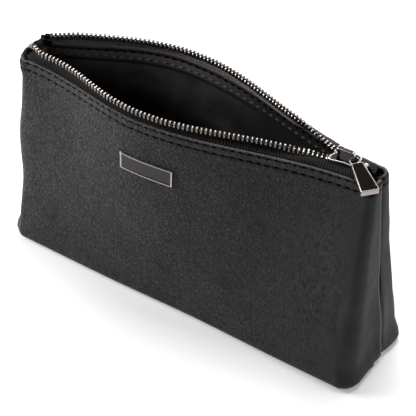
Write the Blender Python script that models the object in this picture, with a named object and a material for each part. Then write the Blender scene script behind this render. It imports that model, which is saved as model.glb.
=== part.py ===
"""Zipped makeup bag in soft grained leather, standing open, with a metal zip along its mouth.

Metres, Z up, standing on z = 0.  +X runs along the mouth towards the slider, -Y is the front.
Each wall is one function of the place along the bag and of the height, and the leather, the
lining, the zip tape and the plate are all laid on it at their own depth under its surface.
"""

import math

import bmesh
import bpy
import numpy as np
from mathutils import Matrix, Vector

MM = 0.001
FRONT = -1
BACK = 1

# ---- bag body -----------------------------------------------------------------------------
RIM_HEIGHT = 123.8 * MM          # top edge of the leather
RIM_DROP_LEFT = {FRONT: 2.4 * MM, BACK: 0.5 * MM}  # each rim sinks towards its open left end
RIM_DROP_FROM_X = -35.0 * MM
RIM_DROP_TO_X = -80.0 * MM
BASE_HALF_WIDTH = 112.5 * MM
RIM_HALF_WIDTH_RIGHT = 102.0 * MM
RIM_HALF_WIDTH_LEFT = 103.0 * MM
BASE_FLARE = 3.5 * MM            # the boxed corners stand out from the side walls
BASE_FLARE_HEIGHT = 0.13         # over this share of the height
BASE_DEPTH = {FRONT: 29.5 * MM, BACK: 26.0 * MM}
BASE_CORNER = 9.0 * MM           # plan radius of the boxed corners
RIM_CORNER = 4.8 * MM            # plan radius of the folds beside each side seam at the rim
FOLD_RADIUS = 5.0 * MM           # the wall turning under into the base
BASE_SEAM_INSET = 3.0 * MM       # the base's middle seam stops this far inside the folds
SEAM_BASE_RIGHT = 2.0 * MM       # how far each side seam stands behind the middle plane
SEAM_RIM_RIGHT = 2.8 * MM
SEAM_BASE_LEFT = 0.0 * MM
SEAM_RIM_LEFT = -8.5 * MM
BELLY = 1.2 * MM                 # how far the walls swell half way up

# The open mouth: how far each rim stands from the middle plane at its ends and at its fullest
MOUTH_LEFT_END = {FRONT: 18.5 * MM, BACK: 1.5 * MM}
MOUTH_RIGHT_END = {FRONT: 4.5 * MM, BACK: 11.8 * MM}
MOUTH_FULLEST = {FRONT: 28.6 * MM, BACK: 31.4 * MM}
MOUTH_FULLEST_AT = {FRONT: -19.0 * MM, BACK: -28.5 * MM}
MOUTH_CURVE_LEFT = {FRONT: 2.5, BACK: 1.33}
MOUTH_CURVE_RIGHT = {FRONT: 2.5, BACK: 2.0}
MOUTH_REACH = 105.0 * MM

# ---- layers -------------------------------------------------------------------------------
GAP = 0.3 * MM                   # clearance between neighbouring pieces
LEATHER = 1.2 * MM
HEM = 2.2 * MM                   # leather turned in along the rim
HEM_DEPTH = 10.0 * MM
HEM_ROUND = 0.45 * MM            # the rolled edge along the top of the hem
HEM_ROLL_DEPTH = 0.7 * MM
HEM_STEP = 1.2 * MM              # height over which the hem gives way to single leather
LINING = 0.6 * MM
LINING_DROP = 1.6 * MM           # lining stops this far under the rim
LINING_CATCH = 2.5 * MM          # lining stays out over the tape this far below it
LINING_SLOPE = 7.4 * MM          # height over which it then falls back to the leather
TAPE = 0.7 * MM
TAPE_DEPTH = 9.0 * MM            # tape held between leather and lining
TAPE_MIDDLE = HEM + GAP + TAPE / 2
LINING_AT_HEM = HEM + TAPE + 2 * GAP
LINING_BELOW = LEATHER + GAP

# ---- zip chain ----------------------------------------------------------------------------
PITCH = 2.35 * MM
TOOTH_THICKNESS = 1.05 * MM       # along the chain
TOOTH_HEEL = 1.35 * MM           # from the bead outwards, over the tape
TOOTH_REACH = 1.95 * MM          # from the bead to the tip of the head
TOOTH_NECK = 0.45 * MM           # from the bead to the widest place
HEEL_SHARE = 0.78                # the heel's height over the widest height
TOOTH_HALF_HEIGHT = 1.35 * MM
HEAD_HALF_HEIGHT = 0.7 * MM
BEAD_RADIUS = 0.75 * MM          # corded edge of the tape, inside the teeth
BEAD_OFFSET = 1.45 * MM          # bead to chain centre where the teeth mesh
CHAIN_Y = 4.0 * MM
CHAIN_OVER_RIM = 1.0 * MM
CHAIN_Z = RIM_HEIGHT + CHAIN_OVER_RIM
CLOSING_X = 81.8 * MM           # the teeth are meshed to the right of this
SPLIT_ANGLE = math.radians(15.0) # each row leaves the chain at this angle
CHAIN_RIGHT_X = 89.4 * MM
CHAIN_LEFT_X = -99.8 * MM
BEAD_RISE = 4.0 * MM             # bead above the back rim along the open mouth
BEAD_LEAN_IN = {FRONT: 2.9 * MM, BACK: 2.8 * MM}  # the open tape leans inwards near the slider
LEAN_IN_FROM_X = -15.0 * MM
LEAN_IN_TO_X = 45.0 * MM
BEAD_LEAN_LEFT = {FRONT: 1.1 * MM, BACK: 0.0}  # over its left part
LEAN_LEFT_AT = -70.0 * MM
LEAN_LEFT_REACH = 30.0 * MM
BEAD_LEAN_END = {FRONT: 4.4 * MM, BACK: 0.0}   # and where its free end falls inwards
LEAN_END_FROM_X = -89.0 * MM
LEAN_END_TO_X = -102.0 * MM
JOIN_FROM_X = 43.0 * MM
JOIN_TO_X = 70.0 * MM
LEVEL_FROM_X = 76.0 * MM         # the rows reach the chain's own height here
TAPE_LEFT_X = -103.4 * MM
TAPE_RIGHT_X = 96.0 * MM
TAPE_FOOT_LEFT_X = -97.5 * MM
TAPE_FLAT = 1.8 * MM             # tape leaves the teeth straight for this far
TAPE_OVER_RIM = 0.9 * MM         # and bends at least this far above the rim
TAPE_END_ARC = 5.6 * MM          # length of the rounded corner at its free end
TAPE_END_DROP = {FRONT: 2.4 * MM, BACK: 1.2 * MM}
TAPE_TAIL_DROP = 3.0 * MM        # the closed end slopes down behind the bottom stop

# ---- slider -------------------------------------------------------------------------------
SLIDER_TAIL = 5.3 * MM           # from the closing point to the narrow end
SLIDER_HEAD = -7.6 * MM          # and to the wide end
SLIDER_SIDE_CLEARANCE = 0.55 * MM
SLIDER_FLANGE = 0.5 * MM
SLIDER_PLATE = 0.8 * MM
SLIDER_CHANNEL = TOOTH_HALF_HEIGHT + GAP
SLIDER_SLOT = 0.9 * MM           # half height of the slot the tape runs through
SLIDER_TOP = SLIDER_CHANNEL + SLIDER_PLATE
POST_FROM = -6.2 * MM
POST_TO = -3.95 * MM
POST_NOSE = 0.5 * MM
POST_CLEARANCE = 0.35 * MM
NOTCH_DEPTH = 1.3 * MM           # the wide end's top edge is cut back between its two lobes
NOTCH_MOUTH = 6.4 * MM
NOTCH_ROOT = 1.8 * MM
BRIDGE_WIDTH = 1.4 * MM
BRIDGE_THICKNESS = 0.8 * MM
BRIDGE_LEFT = -4.2 * MM
BRIDGE_RIGHT = SLIDER_TAIL
BRIDGE_BEND = 1.4 * MM

# ---- pull ---------------------------------------------------------------------------------
PULL_LENGTH = 26.0 * MM          # hinge line to tip
PULL_HEAD_WIDTH = 6.1 * MM
PULL_TIP_WIDTH = 9.3 * MM
PULL_THICKNESS = 3.0 * MM
PULL_SHOULDER = 4.9 * MM
PULL_ROUND = 0.8 * MM
PULL_EYE_WIDTH = 4.7 * MM        # inside the loop
PULL_EYE_THICKNESS = 0.9 * MM
PULL_EYE_ROUND = 0.9 * MM
PULL_EYE_ROOT = 1.0 * MM         # the loop runs this far into the plate
PULL_RIM = 0.7 * MM
PULL_RECESS = 0.5 * MM
PULL_FIELD_ROUND = 0.6 * MM
PULL_PIVOT_U = 2.9 * MM          # hinge line along the slider, from the closing point
PULL_PIVOT_UP = PULL_EYE_THICKNESS / 2 + GAP
BRIDGE_CLEAR = PULL_EYE_THICKNESS + 2 * GAP
PULL_YAW = math.radians(-42.0)
PULL_LIFT = math.radians(1.5)

# ---- stops and plate ----------------------------------------------------------------------
STOP_LENGTH = 2.6 * MM
STOP_WIDTH = 2.8 * MM
STOP_HEIGHT = 2.6 * MM
BOTTOM_STOP_WIDTH = 5.6 * MM
STOP_ROUND = 0.5 * MM
PLATE_WIDTH = 31.0 * MM
PLATE_HEIGHT = 10.5 * MM
PLATE_THICKNESS = 1.1 * MM
PLATE_RIM = 0.8 * MM
PLATE_RECESS = 0.4 * MM
PLATE_EDGE = 0.25 * MM
PLATE_X = -15.5 * MM
PLATE_BELOW_RIM = 27.8 * MM      # from the rim to the plate's middle
PLATE_Z = RIM_HEIGHT - PLATE_BELOW_RIM

# ---- how finely the curved pieces are divided ------------------------------------------------
FRONT_COLUMNS = 30
ARC_COLUMNS = 4
SIDE_COLUMNS = 2
LINING_COLUMNS = 20
TAPE_STATIONS = 44
TAPE_END_STATIONS = 4
PLATE_COLUMNS = 10
WALL_LEVELS = (0.8, 0.66, 0.5, 0.34, 0.18, 0.1)
LINING_LEVELS = (0.66, 0.34, 0.18, 0.1)


# ---- materials and small helpers ------------------------------------------------------------
def material(name, colour, metallic, roughness):
    made = bpy.data.materials.new(name)
    made.use_nodes = True
    shader = made.node_tree.nodes["Principled BSDF"]
    shader.inputs["Base Color"].default_value = (*colour, 1.0)
    shader.inputs["Metallic"].default_value = metallic
    shader.inputs["Roughness"].default_value = roughness
    return made


def add_object(name, points, faces, made_of):
    mesh = bpy.data.meshes.new(name)
    mesh.from_pydata([tuple(p) for p in points], [], faces)
    mesh.materials.append(made_of)
    body = bpy.data.objects.new(name, mesh)
    bpy.context.collection.objects.link(body)
    face_outwards(mesh)
    return body


def face_outwards(mesh):
    work = bmesh.new()
    work.from_mesh(mesh)
    bmesh.ops.recalc_face_normals(work, faces=work.faces)
    if work.calc_volume(signed=True) < 0:
        bmesh.ops.reverse_faces(work, faces=work.faces)
    work.to_mesh(mesh)
    work.free()


def smooth(value, start, end):
    """0 before start, 1 after end, with a soft change between."""
    share = min(max((value - start) / (end - start), 0.0), 1.0)
    return share * share * (3.0 - 2.0 * share)


def loft(name, rings, made_of):
    """A closed body through rings of equally many points, capped at both ends."""
    count = len(rings[0])
    points = [p for ring in rings for p in ring]
    faces = []
    for i in range(len(rings) - 1):
        for j in range(count):
            k = (j + 1) % count
            faces.append((i * count + j, i * count + k, (i + 1) * count + k, (i + 1) * count + j))
    faces.append(tuple(reversed(range(count))))
    last = (len(rings) - 1) * count
    faces.append(tuple(range(last, last + count)))
    return add_object(name, points, faces, made_of)


def prism(name, outline, low, high, made_of, place=None):
    """An outline in the local XY plane, raised from low to high."""
    rings = [[Vector((x, y, z)) for x, y in outline] for z in (low, high)]
    if place is not None:
        rings = [[place @ p for p in ring] for ring in rings]
    return loft(name, rings, made_of)


def rounded(corners, radius, steps=3):
    """The polygon with its corners turned to short arcs."""
    outline = []
    for i, here in enumerate(corners):
        before = Vector(corners[i - 1]) - Vector(here)
        after = Vector(corners[(i + 1) % len(corners)]) - Vector(here)
        start = Vector(here) + before.normalized() * radius
        end = Vector(here) + after.normalized() * radius
        for k in range(steps + 1):
            s = k / steps
            bend = start * (1 - s) ** 2 + Vector(here) * 2 * s * (1 - s) + end * s * s
            outline.append((bend.x, bend.y))
    return outline


def combine(body, other, operation):
    """Joins other to body, or cuts it away, and removes other."""
    change = body.modifiers.new("join", "BOOLEAN")
    change.operation = operation
    change.solver = "EXACT"
    change.object = other
    bpy.context.view_layer.objects.active = body
    bpy.ops.object.modifier_apply(modifier=change.name)
    bpy.data.objects.remove(other, do_unlink=True)


# ---- the walls as surfaces ------------------------------------------------------------------
def rim_stand(side, x):
    """How far the rim stands from the middle plane at x."""
    share = min(max((x + MOUTH_REACH) / (2 * MOUTH_REACH), 0.0), 1.0)
    ends = MOUTH_LEFT_END[side] * (1 - share) + MOUTH_RIGHT_END[side] * share
    middle = (MOUTH_FULLEST_AT[side] + MOUTH_REACH) / (2 * MOUTH_REACH)
    fullness = MOUTH_FULLEST[side] - (MOUTH_LEFT_END[side] * (1 - middle) + MOUTH_RIGHT_END[side] * middle)
    if x < MOUTH_FULLEST_AT[side]:
        away = (MOUTH_FULLEST_AT[side] - x) / (MOUTH_FULLEST_AT[side] + MOUTH_REACH)
        power = MOUTH_CURVE_LEFT[side]
    else:
        away = (x - MOUTH_FULLEST_AT[side]) / (MOUTH_REACH - MOUTH_FULLEST_AT[side])
        power = MOUTH_CURVE_RIGHT[side]
    return ends + fullness * max(math.cos(0.5 * math.pi * min(away, 1.0)), 0.0) ** power


def wall_y(side, x, t):
    """Outer surface of the wall at x, at share t of the rim height."""
    stand = BASE_DEPTH[side] * (1 - t) + rim_stand(side, x) * t
    return side * (stand + BELLY * math.sin(math.pi * t))


def rim_height(side, x):
    return RIM_HEIGHT - RIM_DROP_LEFT[side] * smooth(-x, -RIM_DROP_FROM_X, -RIM_DROP_TO_X)


def half_width(end, t):
    rim = RIM_HALF_WIDTH_RIGHT if end > 0 else RIM_HALF_WIDTH_LEFT
    flare = BASE_FLARE * (1 - smooth(t, 0.0, BASE_FLARE_HEIGHT))
    return (BASE_HALF_WIDTH - BASE_FLARE) * (1 - t) + rim * t + flare


def seam_y(end, t):
    if end > 0:
        return SEAM_BASE_RIGHT * (1 - t) + SEAM_RIM_RIGHT * t
    return SEAM_BASE_LEFT * (1 - t) + SEAM_RIM_LEFT * t


def corner_radius(t):
    return BASE_CORNER * (1 - t) + RIM_CORNER * t


def end_columns(side, end, t):
    """From the side seam round the fold to where the long wall starts."""
    width = half_width(end, t)
    radius = corner_radius(t)
    edge = wall_y(side, end * (width - radius), t)
    seam = seam_y(end, t) + side * GAP / 2
    turn = edge - side * radius
    columns = [(end * width, seam + (turn - seam) * k / SIDE_COLUMNS) for k in range(SIDE_COLUMNS)]
    for k in range(ARC_COLUMNS):
        angle = 0.5 * math.pi * k / ARC_COLUMNS
        x = end * (width - radius + radius * math.cos(angle))
        columns.append((x, turn + side * radius * math.sin(angle)))
    return columns


def outline(side, t, front_columns):
    """Half of the bag's plan at share t of the height, from the left seam to the right."""
    left = end_columns(side, -1, t)
    right = end_columns(side, 1, t)
    start = -(half_width(-1, t) - corner_radius(t))
    end = half_width(1, t) - corner_radius(t)
    middle = []
    for k in range(front_columns + 1):
        x = start + (end - start) * k / front_columns
        middle.append((x, wall_y(side, x, t)))
    return np.array(left + middle + right[::-1])


def plan_normals(side, line):
    """Outward normals of a plan line; both seam ends point straight along X."""
    along = np.gradient(line, axis=0)
    normals = np.stack([along[:, 1], -along[:, 0]], axis=1)
    normals *= -side
    normals /= np.linalg.norm(normals, axis=1, keepdims=True)
    normals[0] = (-1.0, 0.0)
    normals[-1] = (1.0, 0.0)
    return normals


def wall_row(side, t, inset, front_columns):
    """Points at one height of the wall, inset under its outer surface."""
    line = outline(side, t, front_columns)
    flat = plan_normals(side, line)
    step = 0.01
    rise = (outline(side, t + step, front_columns) - outline(side, t - step, front_columns)) / (2 * step)
    slope = np.sum(rise * flat, axis=1) / RIM_HEIGHT
    slope[0] = 0.0
    slope[-1] = 0.0
    normals = np.column_stack([flat, -slope])
    normals /= np.linalg.norm(normals, axis=1, keepdims=True)
    points = np.column_stack([line, [t * rim_height(side, x) for x in line[:, 0]]])
    return points - normals * inset


def fold_row(side, angle, inset, front_columns):
    """Points of the wall turning under, at an angle from upright."""
    line = outline(side, FOLD_RADIUS / RIM_HEIGHT, front_columns)
    flat = plan_normals(side, line)
    reach = (FOLD_RADIUS - inset) * math.cos(angle) - FOLD_RADIUS
    height = FOLD_RADIUS - (FOLD_RADIUS - inset) * math.sin(angle)
    return np.column_stack([line + flat * reach, np.full(len(line), height)])


def base_row(side, share, inset, front_columns):
    """Points of the flat base, from the fold to the seam along its middle."""
    edge = fold_row(side, 0.5 * math.pi, inset, front_columns)
    steps = np.linalg.norm(np.diff(edge[:, :2], axis=0), axis=1)
    along = np.concatenate([[0.0], np.cumsum(steps)]) / np.sum(steps)
    reach = BASE_HALF_WIDTH - FOLD_RADIUS - BASE_SEAM_INSET
    seam = [edge[0, 1] + (edge[-1, 1] - edge[0, 1]) * share_along for share_along in along]
    middle = np.column_stack([reach * (2 * along - 1), seam, edge[:, 2]])
    return edge * (1 - share) + middle * share


def wall_point(side, x, t, inset):
    """One point of the long wall, inset under its outer surface."""
    step = 0.5 * MM
    across = (wall_y(side, x + step, t) - wall_y(side, x - step, t)) / (2 * step)
    up = (wall_y(side, x, t + 0.005) - wall_y(side, x, t - 0.005)) / (0.01 * RIM_HEIGHT)
    normal = Vector((-across, 1.0, -up)).normalized() * side
    return Vector((x, wall_y(side, x, t), t * rim_height(side, x))) - normal * inset


# ---- leather and lining ---------------------------------------------------------------------
def shell(name, rows, made_of):
    """A closed sheet from rows of outer points and rows of inner points."""
    outer = [row[0] for row in rows]
    inner = [row[1] for row in rows]
    height = len(rows)
    width = len(outer[0])
    points = [p for row in outer + inner for p in row]
    second = height * width

    def quad(a, b, c, d):
        faces.append((a, b, c, d))

    faces = []
    for i in range(height - 1):
        for j in range(width - 1):
            a = i * width + j
            quad(a, a + 1, a + width + 1, a + width)
            quad(second + a, second + a + width, second + a + width + 1, second + a + 1)
    for j in range(width - 1):
        last = (height - 1) * width + j
        quad(j, second + j, second + j + 1, j + 1)
        quad(last, last + 1, second + last + 1, second + last)
    for i in range(height - 1):
        start = i * width
        end = start + width - 1
        quad(start, start + width, second + start + width, second + start)
        quad(end, second + end, second + end + width, end + width)
    return add_object(name, points, faces, made_of)


def leather_panel(name, side, made_of):
    """One wall with its half of the base: turned in at the rim, folded under at the bottom."""
    def at(drop):
        return 1.0 - drop / RIM_HEIGHT

    levels = [(at(0.0), HEM_ROUND, HEM - HEM_ROUND), (at(HEM_ROLL_DEPTH), 0.0, HEM)]
    levels += [(at(HEM_DEPTH / 2), 0.0, HEM)]
    levels += [(at(HEM_DEPTH - HEM_STEP / 2), 0.0, HEM), (at(HEM_DEPTH + HEM_STEP / 2), 0.0, LEATHER)]
    levels += [(t, 0.0, LEATHER) for t in WALL_LEVELS + (FOLD_RADIUS / RIM_HEIGHT,)]
    rows = []
    for t, outer, inner in levels:
        rows.append((wall_row(side, t, outer, FRONT_COLUMNS), wall_row(side, t, inner, FRONT_COLUMNS)))
    for angle in (30.0, 60.0, 90.0):
        turn = math.radians(angle)
        rows.append((fold_row(side, turn, 0.0, FRONT_COLUMNS), fold_row(side, turn, LEATHER, FRONT_COLUMNS)))
    for share in (0.5, 1.0):
        rows.append((base_row(side, share, 0.0, FRONT_COLUMNS), base_row(side, share, LEATHER, FRONT_COLUMNS)))
    return shell(name, rows, made_of)


def lining_panel(name, side, made_of):
    """Satin lining behind one wall: over the tape at the rim, close to the leather below."""
    top = 1.0 - LINING_DROP / RIM_HEIGHT
    foot = 1.0 - (TAPE_DEPTH + LINING_CATCH) / RIM_HEIGHT
    below = foot - LINING_SLOPE / RIM_HEIGHT
    levels = [(top, LINING_AT_HEM), (foot, LINING_AT_HEM), (below, LINING_BELOW)]
    levels += [(t, LINING_BELOW) for t in LINING_LEVELS + (FOLD_RADIUS / RIM_HEIGHT,)]
    rows = []
    for t, inset in levels:
        outer = wall_row(side, t, inset, LINING_COLUMNS)
        rows.append((outer, wall_row(side, t, inset + LINING, LINING_COLUMNS)))
    for angle in (45.0, 90.0):
        turn = math.radians(angle)
        outer = fold_row(side, turn, LINING_BELOW, LINING_COLUMNS)
        rows.append((outer, fold_row(side, turn, LINING_BELOW + LINING, LINING_COLUMNS)))
    outer = base_row(side, 1.0, LINING_BELOW, LINING_COLUMNS)
    rows.append((outer, base_row(side, 1.0, LINING_BELOW + LINING, LINING_COLUMNS)))
    return shell(name, rows, made_of)


# ---- zip: beads, teeth and tapes ------------------------------------------------------------
def bead_lean(side, x):
    """How far the open tape leans in from its rim at x."""
    lean = BEAD_LEAN_IN[side] * smooth(x, LEAN_IN_FROM_X, LEAN_IN_TO_X)
    lean += BEAD_LEAN_LEFT[side] * (1.0 - smooth(abs(x - LEAN_LEFT_AT), 0.0, LEAN_LEFT_REACH))
    return lean + BEAD_LEAN_END[side] * smooth(-x, -LEAN_END_FROM_X, -LEAN_END_TO_X)


def bead_point(side, x):
    """Centre of the corded edge: standing over the rim along the mouth, meshed at the right."""
    near = smooth(x, JOIN_FROM_X, JOIN_TO_X)
    mouth_y = wall_point(side, x, 1.0, TAPE_MIDDLE).y - side * bead_lean(side, x)
    split = max(CLOSING_X - x, 0.0) * math.tan(SPLIT_ANGLE)
    chain_y = CHAIN_Y + side * (BEAD_OFFSET + split)
    down = smooth(x, JOIN_FROM_X, LEVEL_FROM_X)
    height = (rim_height(BACK, x) + BEAD_RISE) * (1 - down) + CHAIN_Z * down
    return Vector((x, mouth_y * (1 - near) + chain_y * near, height))


def bead_frame(side, x):
    """Along the bead, across it towards the heads of the teeth, and out of the tape."""
    step = 0.4 * MM
    along = (bead_point(side, x + step) - bead_point(side, x - step)).normalized()
    flat = 0.5 * math.pi * smooth(x, JOIN_FROM_X, JOIN_TO_X)
    reach = Vector((0.0, side * 0.2 * math.cos(flat) - side * math.sin(flat), math.cos(flat)))
    across = (reach - along * reach.dot(along)).normalized()
    return along, across, along.cross(across)


def path_of(side):
    """Places along one bead from the closed end, as matching lists of length and x."""
    places = np.linspace(CHAIN_RIGHT_X, CHAIN_LEFT_X, 900)
    points = np.array([bead_point(side, x) for x in places])
    steps = np.linalg.norm(np.diff(points, axis=0), axis=1)
    return np.concatenate([[0.0], np.cumsum(steps)]), places


def section(centre, across, out, shape):
    return [centre + across * a + out * b for a, b in shape]


def bead_shape():
    waist = 0.6 * BEAD_RADIUS
    half = 0.8 * BEAD_RADIUS
    return [(-half, -waist), (0, -BEAD_RADIUS), (half, -waist), (half, waist), (0, BEAD_RADIUS), (-half, waist)]


def tooth_shape():
    heel = HEEL_SHARE * TOOTH_HALF_HEIGHT
    low = [(-TOOTH_HEEL, -heel), (TOOTH_NECK, -TOOTH_HALF_HEIGHT), (TOOTH_REACH, -HEAD_HALF_HEIGHT)]
    return low + [(a, -b) for a, b in reversed(low)]


def tooth_places(side):
    """Place along X of each tooth of one row, from the closed end to the open end."""
    lengths, places = path_of(side)
    shift = 0.5 if side == FRONT else 1.0
    count = int((lengths[-1] - TOOTH_THICKNESS) / PITCH - shift)
    return [float(np.interp((k + shift) * PITCH, lengths, places)) for k in range(count + 1)]


def teeth_row(name, side, made_of):
    """The metal teeth of one side, clamped on the tape's corded edge, as one comb."""
    half = TOOTH_THICKNESS / 2
    bead = bead_shape()
    tooth = tooth_shape()
    rings = []

    def ring(x, slide, shape):
        along, across, out = bead_frame(side, x)
        rings.append(section(bead_point(side, x) + along * slide, across, out, shape))

    ring(CHAIN_RIGHT_X, 0.0, bead)
    for x in tooth_places(side):
        ring(x, half, bead)
        ring(x, half, tooth)
        ring(x, -half, tooth)
        ring(x, -half, bead)
    return loft(name, rings, made_of)


def tape_drop(side, x):
    """How far the tape's free edge falls below its own line at both ends."""
    share = min(max((TAPE_LEFT_X + TAPE_END_ARC - x) / TAPE_END_ARC, 0.0), 1.0)
    arc = TAPE_END_DROP[side] * (1.0 - math.sqrt(1.0 - share * share))
    behind_stop = CHAIN_RIGHT_X + GAP + STOP_LENGTH + GAP
    return arc + TAPE_TAIL_DROP * smooth(x, behind_stop, TAPE_RIGHT_X)


def tape_middle(side, x):
    """Middle line of the tape's section: foot in the seam, rim, bend, edge at the bead."""
    foot_x = min(max(x, TAPE_FOOT_LEFT_X), TAPE_RIGHT_X)
    low = wall_point(side, foot_x, 1.0 - TAPE_DEPTH / RIM_HEIGHT, TAPE_MIDDLE)
    rim = wall_point(side, foot_x, 1.0, TAPE_MIDDLE)
    along, across, out = bead_frame(side, x)
    edge = bead_point(side, x) - across * (TOOTH_HEEL + GAP) - Vector((0, 0, tape_drop(side, x)))
    bend = edge - across * TAPE_FLAT
    bend.z = max(bend.z, rim.z + TAPE_OVER_RIM)
    return [low, rim, bend, edge]


def tape_section(side, x):
    """Closed section of the tape: its middle line thickened evenly to both faces."""
    middle = tape_middle(side, x)
    faces = []
    for i, p in enumerate(middle):
        before = middle[max(i - 1, 0)]
        after = middle[min(i + 1, len(middle) - 1)]
        into = (p - before).normalized() if i else (after - p).normalized()
        away = (after - p).normalized() if i < len(middle) - 1 else into
        turn = (into + away).normalized()
        normal = Vector((1.0, 0.0, 0.0)).cross(turn).normalized()
        faces.append((p, normal * (TAPE / 2) / max(turn.dot(into), 0.5)))
    return [p + n for p, n in faces] + [p - n for p, n in reversed(faces)]


def zip_tape(name, side, made_of):
    turns = np.linspace(0.0, 0.5 * math.pi, TAPE_END_STATIONS, endpoint=False)
    end = TAPE_LEFT_X + TAPE_END_ARC * (1.0 - np.cos(turns))
    places = np.concatenate([end, np.linspace(TAPE_LEFT_X + TAPE_END_ARC, TAPE_RIGHT_X, TAPE_STATIONS)])
    return loft(name, [tape_section(side, float(x)) for x in places], made_of)


# ---- stops ----------------------------------------------------------------------------------
def bottom_stop(name, made_of):
    """Clip that ends the closed chain."""
    half = BOTTOM_STOP_WIDTH / 2
    start = CHAIN_RIGHT_X + GAP
    block = rounded([(0, -half), (STOP_LENGTH, -half), (STOP_LENGTH, half), (0, half)], STOP_ROUND)
    place = Matrix.Translation((start, CHAIN_Y, CHAIN_Z))
    return prism(name, block, -STOP_HEIGHT / 2, STOP_HEIGHT / 2, made_of, place)


def top_stop(name, side, made_of):
    """Small clamp past the last tooth at the open end of one tape."""
    last_x = tooth_places(side)[-1]
    along, across, out = bead_frame(side, last_x)
    start = bead_point(side, last_x) - along * (TOOTH_THICKNESS / 2 + GAP)
    high = STOP_HEIGHT / 2
    wide = STOP_WIDTH / 2
    block = rounded([(-wide, -high), (wide, -high), (wide, high), (-wide, high)], STOP_ROUND)
    rings = [section(start - along * far, across, out, block) for far in (0.0, STOP_LENGTH)]
    return loft(name, rings, made_of)


# ---- slider and pull ------------------------------------------------------------------------
def row_side(u):
    """Outer side of a row of teeth at u along the slider."""
    return BEAD_OFFSET + TOOTH_HEEL + max(-u, 0.0) * math.tan(SPLIT_ANGLE)


def slider_half(name, up, made_of):
    """One plate of the slider with its two edges turned towards the tape."""
    rings = []
    for u in (SLIDER_HEAD, 0.5 * SLIDER_HEAD, 0.0, SLIDER_TAIL):
        inner = row_side(u) + SLIDER_SIDE_CLEARANCE
        outer = inner + SLIDER_FLANGE
        half = [(outer, SLIDER_TOP), (outer, SLIDER_SLOT), (inner, SLIDER_SLOT), (inner, SLIDER_CHANNEL)]
        loop = half + [(-y, z) for y, z in reversed(half)]
        rings.append([Vector((u, y, up * z)) for y, z in loop])
    return loft(name, rings, made_of)


def slider_post(made_of):
    """The wedge between the plates that parts the rows."""
    def half(u):
        return BEAD_OFFSET + max(-u, 0.0) * math.tan(SPLIT_ANGLE) - TOOTH_REACH - POST_CLEARANCE

    nose = POST_FROM - POST_NOSE
    wedge = [(POST_TO, -half(POST_TO)), (POST_TO, half(POST_TO)), (POST_FROM, half(POST_FROM))]
    wedge += [(nose, 0.4 * half(POST_FROM)), (nose, -0.4 * half(POST_FROM)), (POST_FROM, -half(POST_FROM))]
    reach = SLIDER_CHANNEL + SLIDER_PLATE / 2
    return prism("post", wedge, -reach, reach, made_of)


def arch_line(left, right, top, foot, bend):
    """Up one leg, round two bends and down the other leg."""
    turned = rounded([(left, foot), (left, top), (right, top), (right, foot)], bend)
    corner = len(turned) // 4
    return [(left, foot)] + turned[corner:-corner] + [(right, foot)]


def slider_bridge(made_of):
    """The arch over the top plate that holds the pull."""
    foot = -0.5 * SLIDER_PLATE
    metal = BRIDGE_THICKNESS
    outer = arch_line(BRIDGE_LEFT, BRIDGE_RIGHT, BRIDGE_CLEAR + metal, foot, BRIDGE_BEND)
    inner = arch_line(BRIDGE_LEFT + metal, BRIDGE_RIGHT - metal, BRIDGE_CLEAR, foot, BRIDGE_BEND - metal)
    arch = outer + inner[::-1]
    turn = Matrix.Translation((0, BRIDGE_WIDTH / 2, SLIDER_TOP)) @ Matrix.Rotation(math.pi / 2, 4, "X")
    return prism("bridge", arch, 0.0, BRIDGE_WIDTH, made_of, turn)


def slider_notch(made_of):
    """Cutter for the dip between the two lobes of the top plate's wide end."""
    past = SLIDER_PLATE
    root = SLIDER_HEAD + NOTCH_DEPTH
    wide = NOTCH_MOUTH / 2
    narrow = NOTCH_ROOT / 2
    notch = [(SLIDER_HEAD - past, -wide), (root, -narrow), (root, narrow), (SLIDER_HEAD - past, wide)]
    return prism("notch", notch, SLIDER_CHANNEL - past, SLIDER_TOP + past, made_of)


def slider(name, made_of):
    body = slider_half(name, 1, made_of)
    combine(body, slider_half("under", -1, made_of), "UNION")
    combine(body, slider_post(made_of), "UNION")
    combine(body, slider_bridge(made_of), "UNION")
    combine(body, slider_notch(made_of), "DIFFERENCE")
    body.location = (CLOSING_X, CHAIN_Y, CHAIN_Z)
    return body


def pull_eye(made_of):
    """The loop that runs round the bridge, with its hole."""
    head = PULL_HEAD_WIDTH / 2
    bar = PULL_EYE_THICKNESS / 2
    root = PULL_SHOULDER + PULL_EYE_ROOT
    back = [(-bar, -head), (root, -head), (root, head), (-bar, head)]
    eye = prism("eye", rounded(back, PULL_EYE_ROUND), -bar, bar, made_of)
    wide = PULL_EYE_WIDTH / 2
    hole = [(bar, -wide), (PULL_SHOULDER, -wide), (PULL_SHOULDER, wide), (bar, wide)]
    cut = prism("eye_hole", rounded(hole, PULL_FIELD_ROUND), -PULL_THICKNESS, PULL_THICKNESS, made_of)
    combine(eye, cut, "DIFFERENCE")
    return eye


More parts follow.
